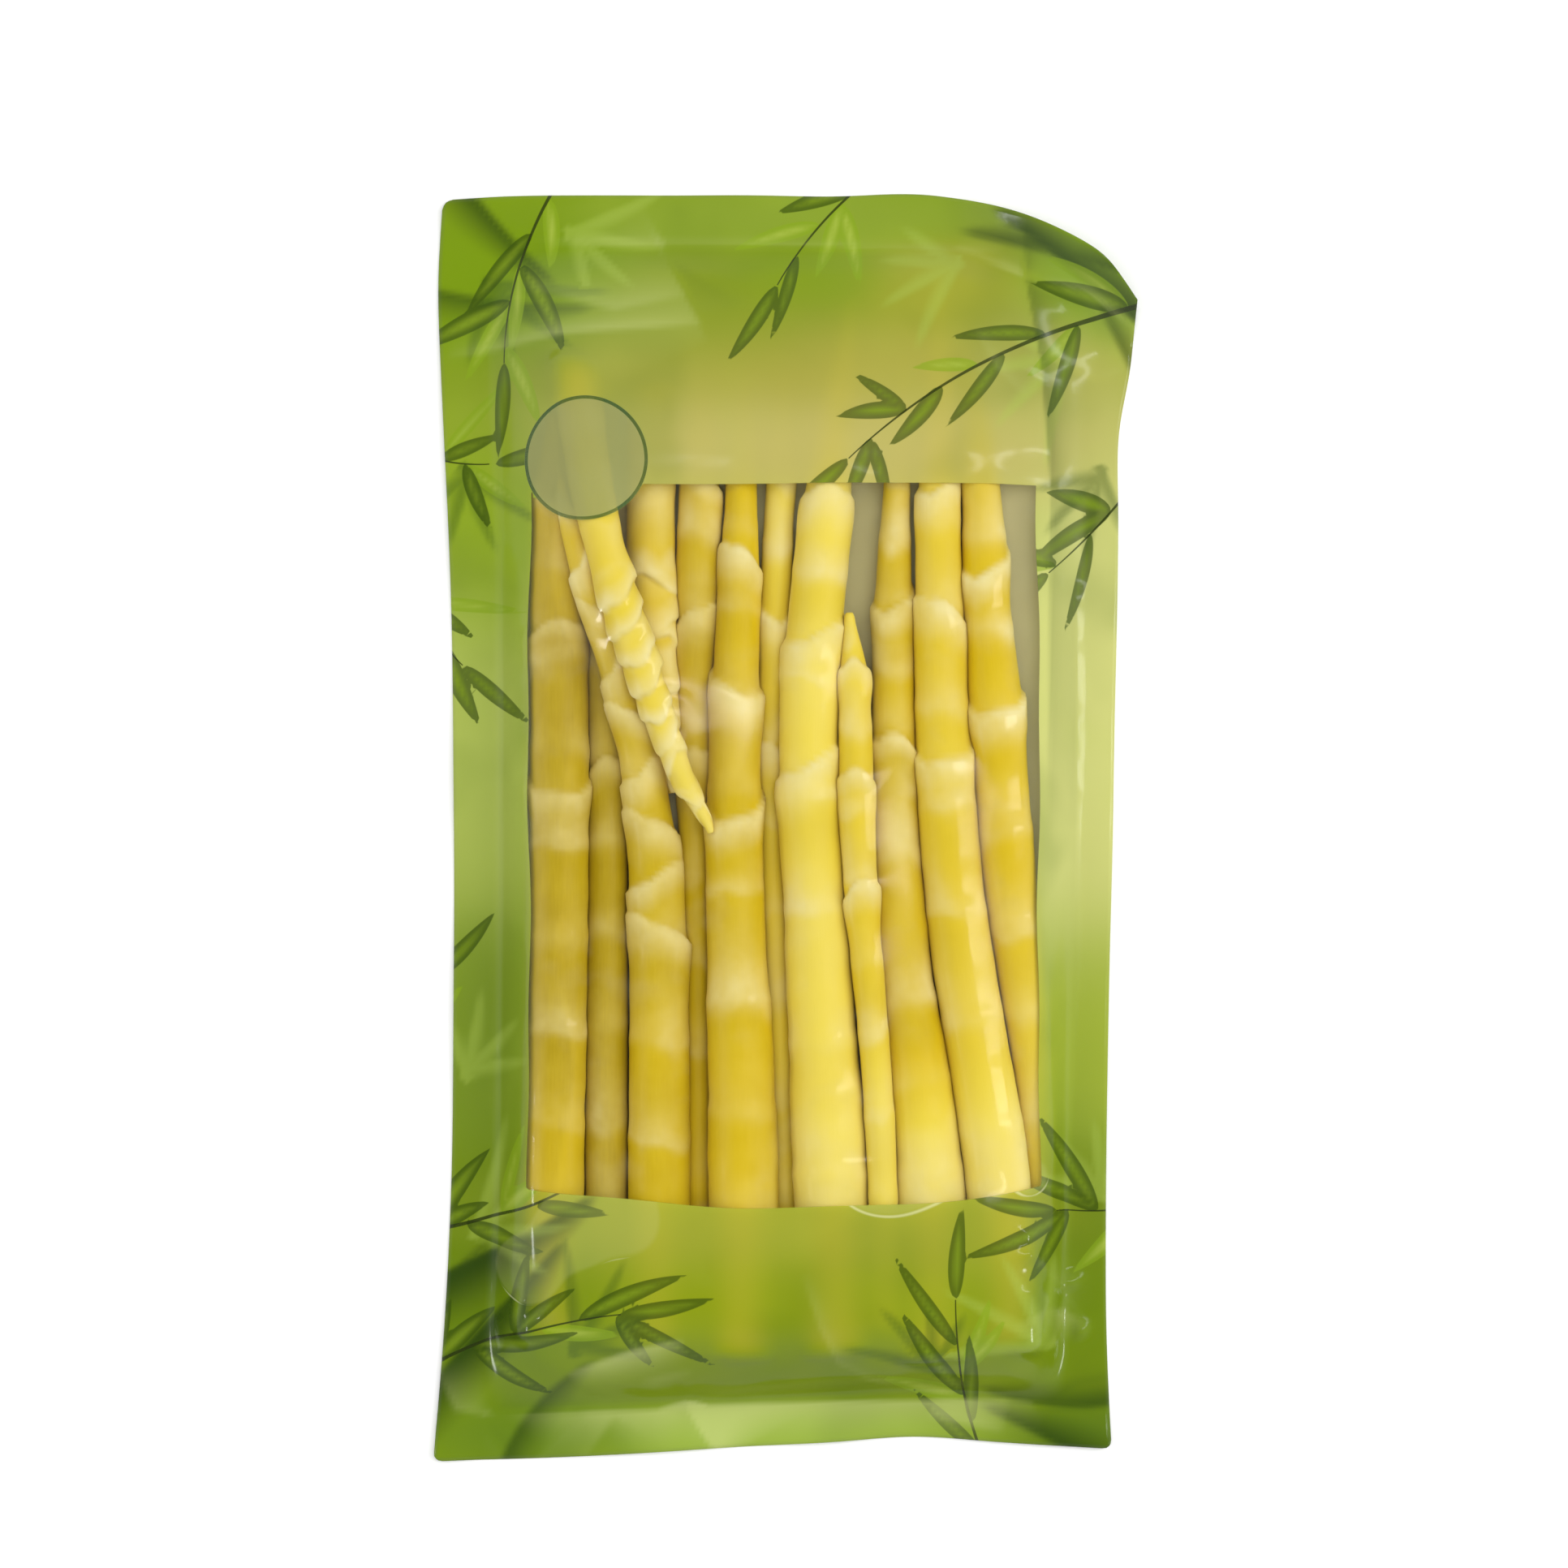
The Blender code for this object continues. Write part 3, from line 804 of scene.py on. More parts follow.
def strewn_creases(x, y, seed, count):
    """Small random creases, square to the nearest weld."""
    random = np.random.default_rng(seed)
    total = np.zeros(x.shape)
    for _ in range(count):
        i = random.integers(0, x.shape[0])
        j = random.integers(0, x.shape[1])
        beside = side_share[i, j] * WIDE < end_share[i, j] * LONG
        angle = random.normal(0.0 if beside else pi / 2, 0.5)
        length = random.uniform(5, 18)
        middle = np.array((x[i, j], y[i, j])) / MM
        reach = np.array((np.cos(angle), np.sin(angle))) * length / 2
        bow = np.array((-reach[1], reach[0])) * random.normal(0, 0.25)
        total += crease(x, y, [middle - reach, middle + bow, middle + reach],
                        random.choice((-1, 1)) * random.uniform(0.08, 0.3),
                        random.uniform(0.7, 1.8))
    return total


slack = smoothstep(0.0, 2.5 * MM, film - np.where(under > 0, under, -1.0))
ripples = strewn_creases(x, y, 5, STREWN) * (0.25 + 0.75 * slack)
ripples *= 1 - 0.7 * smoothstep(*CALM_TOP, y)
for line, height, width in FOLDS:
    ripples += crease(x, y, line, height, width)
film = np.maximum(film + ripples, lowest)
film = np.maximum(blur(film, 1), lowest)
film[[0, -1], :] = lowest[[0, -1], :]
film[:, [0, -1]] = lowest[:, [0, -1]]
write_points(front, np.stack((x, y, film), axis=-1)[front_index])
print("highest crease", round(ripples.max() / MM, 2), "mm")

# %% [markdown]
# ## What is printed
# The print is airbrushed green with leafy sprigs, and leaves a clear window over the shoots.
# Soft washes of colour are kept as one colour for each point of the film.  Crisp shapes can't
# be kept that way, because an edge would be as coarse as the grid.  So each point keeps smooth
# numbers in mm, such as how far inside the window or a leaf it lies, and the material turns
# those into sharp edges.

# %% Washes of colour
GROUND = "#84a014"
# middle x and y, reach across and along in mm, and colour
WASHES = [
    (-74, 22, 16, 40, "#b9c860"), (-70, 70, 14, 26, "#98b41c"), (-74, -50, 14, 26, "#7f9828"),
    (-72, -108, 26, 30, "#6f8c06"), (74, 28, 17, 62, "#e2e38c"), (74, -44, 15, 22, "#a4b730"),
    (70, -112, 20, 28, "#748f08"), (0, -92, 66, 12, "#aab036"), (2, -112, 44, 14, "#98a812"),
    (4, -128, 66, 9, "#80960a"), (-2, -143, 32, 7, "#a2c03c"), (-58, -143, 20, 7, "#6d8c1c"),
    (18, 90, 62, 14, "#cdc16e"), (14, 108, 56, 12, "#b8b04a"), (-14, 120, 34, 14, "#8fa024"),
    (6, 130, 18, 8, "#88a40c"), (38, 126, 20, 12, "#abad34"), (58, 108, 18, 16, "#b8b95e"),
    (4, 144, 50, 6, "#92aa32"), (72, 128, 16, 12, "#92b42c"), (-66, 130, 24, 18, "#80a008"),
    (72, -144, 14, 9, "#5a7810"),
]


def add_washes(x, y):
    """Airbrushed colour at each point: nearby washes weigh most."""
    total = np.full((*x.shape, 1), 0.25)
    colour = total * np.array(linear(GROUND))
    for cx, cy, reach_x, reach_y, code in WASHES:
        gap = ((x / MM - cx) / reach_x) ** 2 + ((y / MM - cy) / reach_y) ** 2
        weight = np.exp(-1.6 * gap)[..., None] * 2.5
        colour = colour + weight * np.array(linear(code))
        total = total + weight
    return colour / total


def store_colour(piece, name, values):
    """Keep one colour for each point of a mesh."""
    attribute = piece.data.attributes.new(name, "FLOAT_COLOR", "POINT")
    attribute.data.foreach_set("color", values.astype(np.float32).ravel())


store_colour(front, "wash", add_washes(x, y)[front_index])
print("washes:", len(WASHES))

# %% Window and badge
WINDOW = (-59.7 * MM, 59.8 * MM, -84.0 * MM, 80.6 * MM)     # left, right, bottom, top
WINDOW_BOW = 4.0 * MM        # how far its lower edge bows down in the middle
BADGE = (-46.3 * MM, 86.3 * MM, 14.6 * MM)                  # middle and radius


def inside_badge(x, y):
    """Distance inside the round badge in mm, negative outside it."""
    return (BADGE[2] - np.hypot(x - BADGE[0], y - BADGE[1])) / MM


def inside_window(x, y):
    """Distance inside the clear window in mm, negative outside it.  Its edge wavers a little."""
    left, right, bottom, top = WINDOW
    sway = 0.35 * MM * np.sin(y / (17 * MM)) + 0.25 * MM * np.sin(y / (7 * MM) + 1)
    low = bottom - WINDOW_BOW * np.clip(1 - (x / right) ** 2, 0, 1) + 0.3 * MM * np.sin(x / (8 * MM))
    high = top + 0.5 * MM * np.sin(x / (30 * MM) + 0.6)
    inside = np.minimum(np.minimum(x - left + sway, right - x + sway),
                        np.minimum(high - y, y - low))
    return np.minimum(inside / MM, -inside_badge(x, y))


store(front, "window", inside_window(x, y)[front_index])
store(front, "badge", inside_badge(x, y)[front_index])

# %% Twigs
# start x and y in mm, heading and bend in degrees, and length in mm
TWIGS = [(89, 124, 190, 34, 84), (89, 90, 236, -16, 40), (-90, -96, 6, 34, 62),
         (-89, -130, 30, -24, 54), (-90, -58, 66, 16, 30), (-52, 155, 236, 34, 48),
         (-90, 90, -24, 30, 22), (50, -156, 114, -24, 48), (90, -88, 196, -24, 26),
         (22, 155, 216, 26, 36), (-90, 58, -64, 20, 24)]
TWIG_REACH = 30.0            # mm aside of a twig in which its numbers are kept


def twig_line(start_x, start_y, heading, bend, length):
    """Ways along a bent line in mm, its direction there, and its x and y."""
    s = np.arange(0, length + 0.5, 1.0)
    turn = radians(heading) + radians(bend) * s / length
    line_x = start_x + np.concatenate(([0.0], np.cumsum(np.cos(turn[:-1]))))
    line_y = start_y + np.concatenate(([0.0], np.cumsum(np.sin(turn[:-1]))))
    return s, turn, line_x, line_y


def follow_twigs(x, y, twigs):
    """Way along the nearest twig, aside from it and left to its tip, in mm, and whether a
    point and all its neighbours are nearest to the same twig."""
    along = np.full(x.shape, -99.0)
    aside = np.full(x.shape, 99.0)
    left = np.full(x.shape, -99.0)
    owner = np.full(x.shape, -1)
    for number, twig in enumerate(twigs):
        s, turn, line_x, line_y = twig_line(*twig)
        dx = x[..., None] / MM - line_x
        dy = y[..., None] / MM - line_y
        nearest = np.argmin(dx ** 2 + dy ** 2, axis=-1)
        near_dx, near_dy = (np.take_along_axis(gaps, nearest[..., None], -1)[..., 0]
                            for gaps in (dx, dy))
        way = turn[nearest]
        ahead = near_dx * np.cos(way) + near_dy * np.sin(way)
        side = near_dy * np.cos(way) - near_dx * np.sin(way)
        gap = np.hypot(np.maximum(ahead - 20, 0), side)
        closer = (gap < np.abs(aside)) & (gap < TWIG_REACH) & (s[nearest] + ahead > -2)
        along = np.where(closer, s[nearest] + ahead, along)
        left = np.where(closer, twig[-1] - s[nearest] - ahead, left)
        aside = np.where(closer, side, aside)
        owner = np.where(closer, number, owner)
    around = neighbours(owner)
    return along, aside, left, np.min(around, axis=0) == np.max(around, axis=0)


_, aside, left, whole = follow_twigs(x, y, TWIGS)
for name, values in (("aside", aside), ("left", left), ("whole", whole)):
    store(front, name, values[front_index])

# %% Leaves on the twigs
LEAF_SPREADS = (26, 62)      # degrees off the twig of the first and the second leaf of a pair


def grow_leaves(random):
    """Start, heading, bend, length, width and tone of each leaf, singly or in pairs."""
    leaves = []
    for twig in TWIGS:
        s, turn, line_x, line_y = twig_line(*twig)
        place = random.uniform(5, 10)
        turned = random.choice((-1, 1))
        while place < s[-1]:
            i = int(place)
            for spread in LEAF_SPREADS[:random.integers(1, 3)]:
                heading = np.degrees(turn[i]) + turned * (spread + random.uniform(-12, 12))
                leaves.append((line_x[i], line_y[i], heading, -turned * random.uniform(4, 20),
                               random.uniform(17, 31), random.uniform(3.4, 5.4),
                               random.random()))
            turned = -turned
            place += random.uniform(6, 12)
        leaves.append((line_x[-1], line_y[-1], np.degrees(turn[-1]), 10 * turned, 24, 4.4, 0.4))
    return leaves


def inside_leaf(x, y, *line, width):
    """Distance inside one slender leaf in mm, negative outside it."""
    s, side, left, _ = follow_twigs(x, y, [line])
    share = np.clip(s / line[-1], 0, 1)
    half = width * 1.3 * share ** 0.55 * (1 - share)
    past = np.maximum(np.maximum(-s, -left), 0)
    return np.where(past > 0, -np.hypot(side, past), half - np.abs(side)) \
        - 0.15 - 0.35 * share ** 8


leaves = grow_leaves(np.random.default_rng(21))
dark_leaf = np.full(x.shape, -5.0)
light_leaf = np.full(x.shape, -5.0)
for *line, width, tone in leaves:
    group = light_leaf if tone > 0.66 else dark_leaf
    np.maximum(group, inside_leaf(x, y, *line, width=width), out=group)
store(front, "dark_leaf", dark_leaf[front_index])
store(front, "light_leaf", light_leaf[front_index])
print("twigs:", len(TWIGS), "leaves:", len(leaves))

# %% Blurred blades and far leaves
# start x and y in mm, heading and bend in degrees, length and width in mm, and depth of tone
BLADES = [(-94, -118, 20, 26, 62, 13, 1.0), (-90, -146, 44, 16, 66, 12, 0.95),
          (-66, -158, 70, -30, 42, 9, 0.7), (-92, -132, 66, -22, 44, 8, 0.6),
          (93, 118, 140, 14, 54, 11, 0.95), (96, 128, 158, 16, 58, 9, 0.8),
          (92, 96, 112, 20, 40, 8, 0.7),
          (88, -130, 196, -30, 44, 9, 0.75), (88, -154, 146, 22, 48, 10, 0.85),
          (-92, 126, -18, 28, 50, 9, 0.7), (-86, 158, -54, 22, 46, 10, 0.8)]
# middle x and y in mm, heading in degrees, reach in mm, and tone, light or dark
FANS = [(-70, 128, -50, 30, -0.7), (-50, 140, -20, 26, 0.7), (66, 112, 214, 28, 0.6),
        (40, 134, 200, 24, 0.5), (74, 84, 250, 26, -0.6), (-72, -96, 30, 30, 0.8),
        (-48, -122, 50, 28, -0.6), (-74, -58, 70, 24, 0.6), (62, -120, 140, 32, 0.8),
        (36, -126, 120, 24, -0.5), (76, -86, 120, 24, 0.6), (-76, 84, -80, 24, -0.4)]
FAN_ANGLES = (-62, -28, 6, 40)


def paint_blade(x, y, start_x, start_y, heading, bend, length, width):
    """How far inside one soft blade each point is, deepest along one side."""
    s, side, left, _ = follow_twigs(x, y, [(start_x, start_y, heading, bend, length)])
    half = width / 2 * np.sqrt(np.clip(left / length * 1.6, 0, 1))
    inside = smoothstep(-1.4, 1.6, half - np.abs(side)) * smoothstep(-2, 6, left) * (s > -50)
    return inside * (0.55 + 0.45 * np.clip(side / np.maximum(half, 1), -1, 1))


blade = np.zeros(x.shape)
for *line, depth in BLADES:
    blade = np.maximum(blade, depth * paint_blade(x, y, *line))
store(front, "blade", blade[front_index])

far_leaf = np.zeros(x.shape)
for middle_x, middle_y, heading, reach, tone in FANS:
    for number, turned in enumerate(FAN_ANGLES):
        leaf = paint_blade(x, y, middle_x, middle_y, heading + turned, 14,
                           reach * (0.7 + 0.12 * number), 4.6)
        far_leaf = np.where(leaf > np.abs(far_leaf), np.sign(tone) * leaf, far_leaf)
store(front, "far_leaf", far_leaf[front_index])
print("blades:", len(BLADES), "far leaves:", len(FANS) * len(FAN_ANGLES))

# %% [markdown]
# ## Where the film touches
# The shoots' yellow is painted into the print as a glow where the film lies on them, fading where
# it lifts away.  So each point keeps how close the film is to a shoot, blurred as the ink blurs
# it.  Liquid also holds the film in rounded patches, and their rims get a painted highlight line.

# %% Touch and wet patches
WET_SPOTS = [(25, -80, 11), (19, -76, 9), (32, -78, 9), (46, -78, 6), (-38, -89, 10),
             (-49, -93, 10), (-60, -103, 8), (58, -82, 5)]      # middle and reach, in mm
GLOW_REACH = 2.4 * MM        # gap at which a shoot's glow through the print has faded to a third

closeness = np.where(under > 0, np.exp(-(film - under - CLEARANCE) / GLOW_REACH), 0.0)
# how much painted glow of the shoots the print gets at each point
touch = 0.7 * blur(closeness, 10) + 0.3 * blur(closeness, 60)
spread = sum(np.exp((reach - np.hypot(x / MM - cx, y / MM - cy)) / 2.5)
             for cx, cy, reach in WET_SPOTS)
wet = 2.5 * np.log(spread) + 0.8 * np.sin(x / (5 * MM) + np.sin(y / (6 * MM))) \
    + 0.6 * np.sin(y / (4.3 * MM))
store(front, "wet", np.clip(wet, -20, 20)[front_index])
store(front, "touch", touch[front_index])
print("film touches shoots over", round(100 * (closeness > 0.5).mean()), "% of the pouch")

# %% Painted sheen and shade on the facets of the wrinkles
# a wrinkle's edge in mm, how far the painted highlight or painted shade on its left fades out, and
# how pale (painted highlight) or dark (painted shade) it is
FACET_SHEEN_AND_SHADE = [
    ([(-17, 114), (-34, 149)], 26, 0.5), ([(-10, 124), (-29, 136), (-34, 149)], 10, -0.3),
    ([(-80, 111), (-52, 116), (-18, 119)], 3, 0.55), ([(-62, 128), (-40, 122), (-22, 126)], 7, 0.3),
    ([(-60, 138.4), (-10, 138.2), (52, 136)], 1.4, 0.5), ([(52, 136), (-60, 138.4)], 6, -0.25),
    ([(56, 145), (57, 130), (60.8, 109), (62.6, 82), (62, 40), (62, 0)], 9, -0.7),
    ([(56, 146), (57, 130), (60.8, 109), (62.6, 80)], 1.5, -0.8),
    ([(62, 20), (62.5, 82), (60.6, 109), (56.8, 130)], 1.6, 0.4),
    ([(40, 137), (57, 130), (71, 126.4), (83, 117)], 1.8, 0.8),
    ([(83, 115), (71, 124.6), (57, 128)], 9, -0.4), ([(60, 112), (74, 106), (83, 108)], 6, 0.4),
    ([(44, 118), (50, 108), (57, 101)], 4, 0.35), ([(69.5, -60), (69.5, 60)], 4, -0.3),
    ([(-67, 84), (-67.5, 0), (-67, -104)], 6, -0.35), ([(-61.5, -86), (-61.5, 80)], 1.6, 0.35),
    ([(-23, -118.5), (-36, -122), (-52, -128)], 6, 0.9), ([(-20, -126), (-34, -130)], 6, 0.3),
    ([(62, -135), (12, -135), (-5, -135.8), (-18, -137), (-23, -135.2), (-30, -137.4),
      (-72, -138.4)], 9, 0.8),
    ([(-72, -137.6), (-30, -136.6), (-23, -134.4), (-18, -136.2), (60, -134)], 5, -0.5),
    ([(54, -131), (12, -128.6), (0, -130.2), (-13, -132), (-22, -129.6)], 4, 0.35),
    ([(3.8, -103), (8, -116), (12.6, -125.6), (27.6, -134)], 3, 0.45),
    ([(-83, -128), (-78, -138), (-68, -140)], 8, 0.4), ([(-72, -140), (-62, -152)], 7, -0.5),
    ([(-40, -139), (-48, -152)], 6, -0.3), ([(-23, -136), (-15, -150)], 8, 0.9),
    ([(60, -138), (70, -132), (83, -130)], 8, -0.5), ([(74, -118), (62, -112), (52, -116)], 7, 0.4),
    ([(58, -100), (66, -110), (62, -124)], 6, 0.3), ([(34, -139), (52, -143)], 5, 0.35),
]
FACET_EDGE = 1.3 * MM


def paint_facet_sheen_and_shade(x, y):
    """Sum of the painted highlights and painted shades on the wrinkles' facets: 1 is palest and -1
    darkest.
    """
    total = np.zeros(x.shape)
    for line, reach, tone in FACET_SHEEN_AND_SHADE:
        gap, share, side = distance_to_line(x, y, line)
        inside = smoothstep(-FACET_EDGE, FACET_EDGE, gap * side)
        total += tone * inside * fade_ends(share) * np.exp(-gap / (reach * MM))
    return np.clip(total, -1, 1)


# painted highlight and painted shade on the film's wrinkles, kept for the print's colour
facet_sheen_and_shade = paint_facet_sheen_and_shade(x, y)
store(front, "facet_sheen_and_shade", facet_sheen_and_shade[front_index])
print("facets:", len(FACET_SHEEN_AND_SHADE), "from", round(facet_sheen_and_shade.min(), 2), "to", round(facet_sheen_and_shade.max(), 2))

# %% [markdown]
# The film is clear polyethylene, printed in translucent inks and then laminated, so the gloss
# lies over both the print and the window.  The material mixes the ink with clear film by
# how much ink there is, and adds the gloss on top by Fresnel, as the real layers do.

# %% Fine lines
# each row: the result, the Math operation, and its inputs, in mm: first the twigs, thinner
# towards their tips, then the broken rims of the wet patches, which are painted highlight lines,
# and the ring of the badge
TWIG_STEPS = [
    ("away", "ABSOLUTE", "aside"), ("stem", "MULTIPLY_ADD", "left", 0.006, 0.14),
    ("stem_in", "SUBTRACT", "stem", "away"), ("tip_in", "MINIMUM", "left", "stem_in"),
    ("kept", "MULTIPLY_ADD", "whole", 50.0, -50.0), ("twig", "ADD", "tip_in", "kept"),
]
RIM_STEPS = [
    ("rim", "ABSOLUTE", "wet"), ("calm", "SUBTRACT", 0.56, "clouds"),
    ("calmer", "MAXIMUM", "calm", 0.0), ("edge", "MULTIPLY_ADD", "calmer", 7.0, "rim"),
    ("ring", "SUBTRACT", "badge", 0.4), ("ring_in", "ABSOLUTE", "ring"),
]


def run_steps(add, values, steps):
    """Add the Math nodes of a table, each result kept under its name."""
    for result, operation, *terms in steps:
        inputs = {place: values.get(term, term) for place, term in enumerate(terms)}
        values[result] = add("Math", inputs, operation=operation).outputs[0]


# %% Printed film
# each row: a colour, the number that says where it goes, the values between which it comes
# in, and how strongly it covers; later rows lie over earlier ones
PRINT_LAYERS = [
    ("#5f7d12", "clouds", 0.5, 0.75, 0.3), ("#b9cc48", "clouds", 0.5, 0.2, 0.2),
    # the touch row is a painted glow of the shoots through the ink
    ("#d8c63a", "touch", 0.05, 0.95, 0.5), ("#26430c", "blade", 0.0, 0.9, 0.9),
    ("#b4cc55", "far_leaf", 0.05, 0.9, 0.45), ("#3f6014", "far_leaf", -0.05, -0.9, 0.6),
    ("#8fae1c", "light_leaf", -0.15, 0.15, 0.7), ("#bfd055", "light_leaf", 0.4, 2.2, 0.6),
    ("#3c5606", "dark_leaf", -0.12, 0.12, 0.8), ("#8ca81e", "dark_leaf", 0.3, 2.4, 0.75),
    # the two facet rows are a painted highlight and a painted shade on the wrinkles
    ("#2c3a0d", "twig", -0.08, 0.08, 0.9), ("#e6ee9c", "facet_sheen_and_shade", 0.0, 1.0, 0.5),
    ("#35500f", "facet_sheen_and_shade", 0.0, -1.0, 0.5),
    # the edge row paints a highlight line along the broken rims of the wet patches
    ("#dfe39c", "wet", -0.2, 1.0, 0.12), ("#eef0b8", "edge", 0.5, 0.0, 0.55),
    ("#a9ad68", "badge", -0.08, 0.08, 1.0), ("#4a6a34", "ring_in", 0.45, 0.33, 1.0),
]
# the numbers that both films keep, and those that only the front film has
LEAF_NUMBERS = {"aside": aside, "left": left, "whole": whole, "dark_leaf": dark_leaf,
                "light_leaf": light_leaf, "blade": blade, "far_leaf": far_leaf}
FRONT_NUMBERS = ("facet_sheen_and_shade", "touch", "wet", "window", "badge")


def lay_print(add, place, names, steps):
    """The colour of the print, washes first, with painted glow, painted highlights and painted shade
    laid over it where the film keeps their numbers, and the numbers it was made from.
    """
    values = {name: add("Attribute", attribute_name=name).outputs["Fac"] for name in names}
    clouds = add("TexNoise", {"Vector": place, "Scale": 28.0, "Detail": 2.0})
    values["clouds"] = clouds.outputs[0]
    run_steps(add, values, steps)
    colour = add("Attribute", attribute_name="wash").outputs["Color"]
    for code, name, low, high, amount in PRINT_LAYERS:
        if name in values:
            cover = add("MapRange", {0: values[name], 1: low, 2: high, 3: 0.0, 4: amount},
                        interpolation_type="SMOOTHSTEP")
            colour = add("Mix", {0: cover, 6: colour, 7: linear(code)},
                         data_type="RGBA").outputs[2]
    return colour, values


# %% Front film material
def make_print():
    """Laminated, reverse-printed polyethylene: glossy, green, with a clear window."""
    material, add = new_material("printed polyethylene film")
    place = add("TexCoord").outputs["Object"]
    colour, values = lay_print(add, place, (*LEAF_NUMBERS, *FRONT_NUMBERS),
                               TWIG_STEPS + RIM_STEPS)
    inked = add("MapRange", {0: values["window"], 1: -0.1, 2: 0.1, 3: 0.93, 4: 0.0})
    thin = add("MapRange", {0: values["badge"], 1: -0.1, 2: 0.1, 3: 1.0, 4: 0.8})
    cover = add("Math", {0: inked, 1: thin}, operation="MULTIPLY")
    ink = add("BsdfDiffuse", {"Color": colour})
    through = add("BsdfTranslucent", {"Color": colour})
    body = add("MixShader", {0: 0.25, 1: ink, 2: through})
    clear = add("BsdfTransparent", {"Color": linear("#fbfbf4")})
    layers = add("MixShader", {0: cover, 1: clear, 2: body})

    wrinkle = add("TexNoise", {"Vector": place, "Scale": 160.0, "Detail": 3.0})
    bump = add("Bump", {"Height": wrinkle, "Strength": 0.3, "Distance": 0.15 * MM})
    gloss = add("BsdfGlossy", {"Roughness": 0.14, "Normal": bump})
    facing = add("LayerWeight", {"Blend": 0.5, "Normal": bump}).outputs["Facing"]
    steep = add("Math", {0: facing, 1: 5.0}, operation="POWER")
    fresnel = add("Math", {0: steep, 1: 0.96, 2: 0.04}, operation="MULTIPLY_ADD")
    add("OutputMaterial", {"Surface": add("MixShader", {0: fresnel, 1: layers, 2: gloss})})
    return material


# %% Clear inner side
def make_clear():
    """The inner side of the film, wet and in touch with what it holds, so nearly unseen."""
    material, add = new_material("clear polyethylene, inner side")
    place = add("TexCoord").outputs["Object"]
    haze = add("TexNoise", {"Vector": place, "Scale": 90.0, "Detail": 2.0})
    amount = add("MapRange", {0: haze, 1: 0.58, 2: 0.8, 3: 0.0, 4: 0.06})
    film_haze = add("BsdfDiffuse", {"Color": linear("#f2efd8")})
    surface = add("MixShader", {0: amount, 1: add("BsdfTransparent"), 2: film_haze})
    add("OutputMaterial", {"Surface": surface})
    return material


# %% Give the front film its thickness
def thicken(piece):
    """Turn the sheet into a closed film, with its second material on the lower side."""
    wall = piece.modifiers.new("wall", "SOLIDIFY")
    wall.thickness = FILM
    wall.offset = -1.0
    wall.material_offset = 1
    bpy.ops.object.select_all(action="DESELECT")
    piece.select_set(True)
    bpy.context.view_layer.objects.active = piece
    bpy.ops.object.modifier_apply(modifier=wall.name)
    piece.data.shade_smooth()
    print(piece.name, "faces:", len(piece.data.polygons))


front.data.materials.append(make_print())
front.data.materials.append(make_clear())
thicken(front)
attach(front, "root")
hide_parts("front_film")

# %% [markdown]
# ## Back film
# The back film has the same leafy print, and a plain pale panel where such a pouch says what it
# holds.  From inside it shows its dull, unprinted side.

# %% Lay the back film
back, back_index, *_ = film_grid(FILM_CELLS, "printed_back_film")
back_ripples = np.abs(strewn_creases(x, y, 8, 60))
inner_part = smoothstep(0.0, SIDE_WELD, side_share) * smoothstep(0.0, END_WELD, end_share)
back_height = lift + FILM + back_ripples * inner_part
write_points(back, np.stack((x, y, back_height), axis=-1)[back_index])
store_colour(back, "wash", add_washes(x, y)[back_index])
for name, values in LEAF_NUMBERS.items():
    store(back, name, values[back_index])
print("back film's creases are up to", round(back_ripples.max() / MM, 2), "mm high")

# %% Back film materials
PANEL = (0.0, 4 * MM, 54 * MM, 84 * MM)      # middle x, middle y, half width, half height


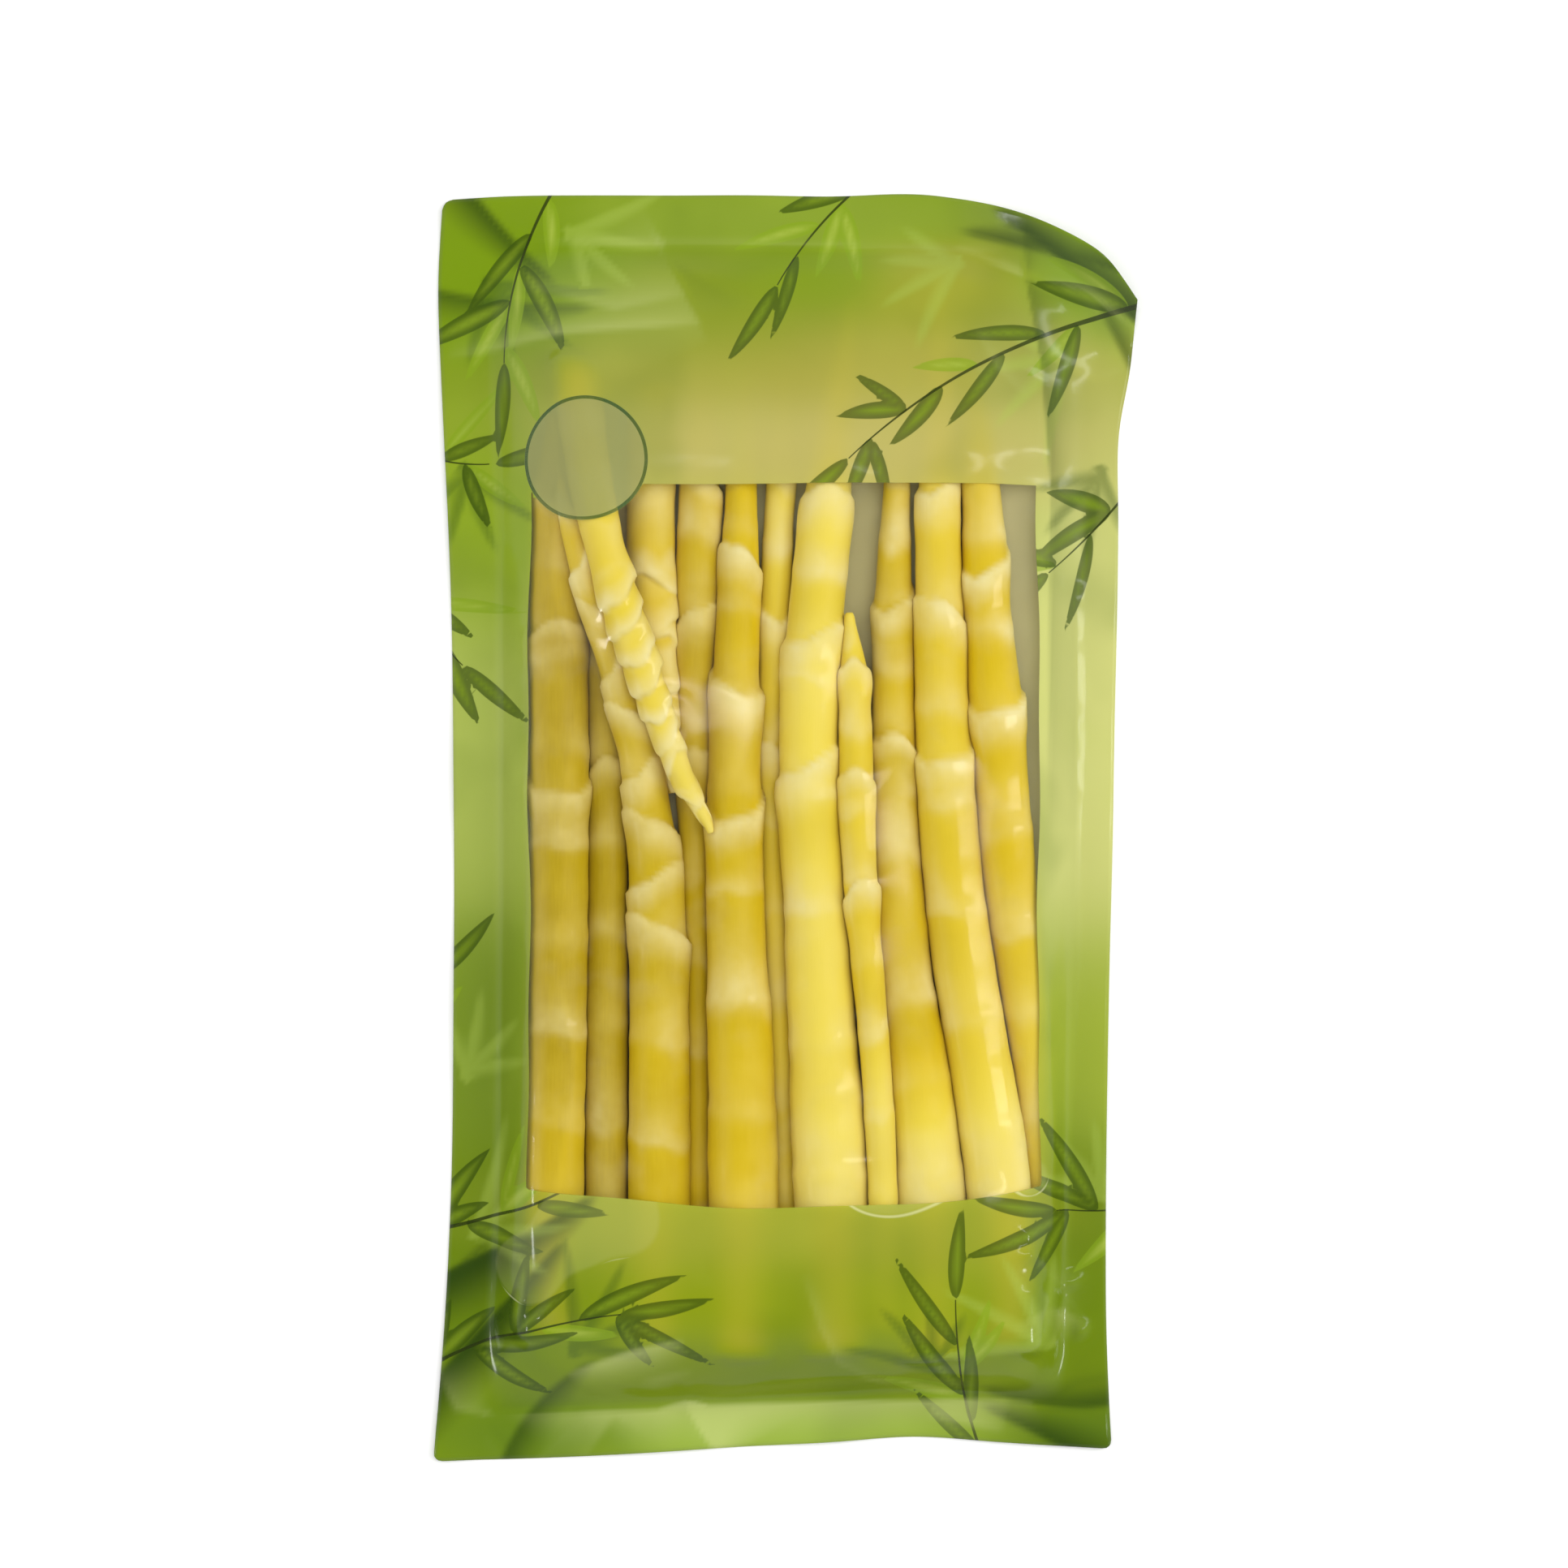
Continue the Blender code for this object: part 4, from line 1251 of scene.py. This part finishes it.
def make_back_print():
    """Printed polyethylene with a plain pale panel."""
    material, add = new_material("printed polyethylene, back")
    place = add("TexCoord").outputs["Object"]
    printed, _ = lay_print(add, place, LEAF_NUMBERS, TWIG_STEPS)
    centred = add("Mapping", {"Vector": place, "Location": (-PANEL[0], -PANEL[1], 0)})
    parts = add("SeparateXYZ", {0: centred})
    sides = []
    for axis, half in zip(("X", "Y"), PANEL[2:]):
        size = add("Math", {0: parts.outputs[axis]}, operation="ABSOLUTE")
        sides.append(add("Math", {0: half, 1: size}, operation="SUBTRACT"))
    inside = add("Math", {0: sides[0], 1: sides[1], 2: 6 * MM}, operation="SMOOTH_MIN")
    panel = add("MapRange", {0: inside, 1: -0.1 * MM, 2: 0.1 * MM, 3: 0.0, 4: 1.0})
    mottle = add("TexNoise", {"Vector": place, "Scale": 40.0, "Detail": 2.0})
    pale = add("Mix", {0: mottle, 6: linear("#e4e3c0"), 7: linear("#d9dcae")},
               data_type="RGBA").outputs[2]
    colour = add("Mix", {0: panel, 6: printed, 7: pale}, data_type="RGBA").outputs[2]
    bump = add("Bump", {"Height": mottle, "Strength": 0.3, "Distance": 0.2 * MM})
    shader = add("BsdfPrincipled", {"Base Color": colour, "Roughness": 0.22, "Normal": bump})
    add("OutputMaterial", {"Surface": shader})
    return material


def make_back_inside():
    """The unprinted side of the back film, seen through brine: a dull greenish buff."""
    material, add = new_material("wet polyethylene, inner side of the back")
    place = add("TexCoord").outputs["Object"]
    mottle = add("TexNoise", {"Vector": place, "Scale": 60.0, "Detail": 3.0})
    colour = add("Mix", {0: mottle, 6: linear("#c8c294"), 7: linear("#b5ac7e")},
                 data_type="RGBA").outputs[2]
    shader = add("BsdfPrincipled", {"Base Color": colour, "Roughness": 0.35})
    add("OutputMaterial", {"Surface": shader})
    return material


back.data.materials.append(make_back_inside())
back.data.materials.append(make_back_print())
thicken(back)
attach(back, "root")
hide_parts("back_film")

# %% [markdown]
# ## Floor
# The pouch lies on plain matt white.  The floor is only for the picture and isn't part of it.

# %% Plain floor
FLOOR_GAP = 0.2 * MM         # so that the film's underside never touches it

bpy.ops.mesh.primitive_plane_add(size=6.0, location=(0.0, 0.0, -FLOOR_GAP))
floor = bpy.context.active_object
floor.name = "floor"
floor_paint, add = new_material("matt white paint")
add("OutputMaterial", {"Surface": add("BsdfPrincipled", {"Base Color": linear("#f6f6f6"),
                                                         "Roughness": 0.9})})
floor.data.materials.append(floor_paint)
floor.visible_glossy = False     # or the steep ends of the film would mirror it as a white veil
print("floor added")
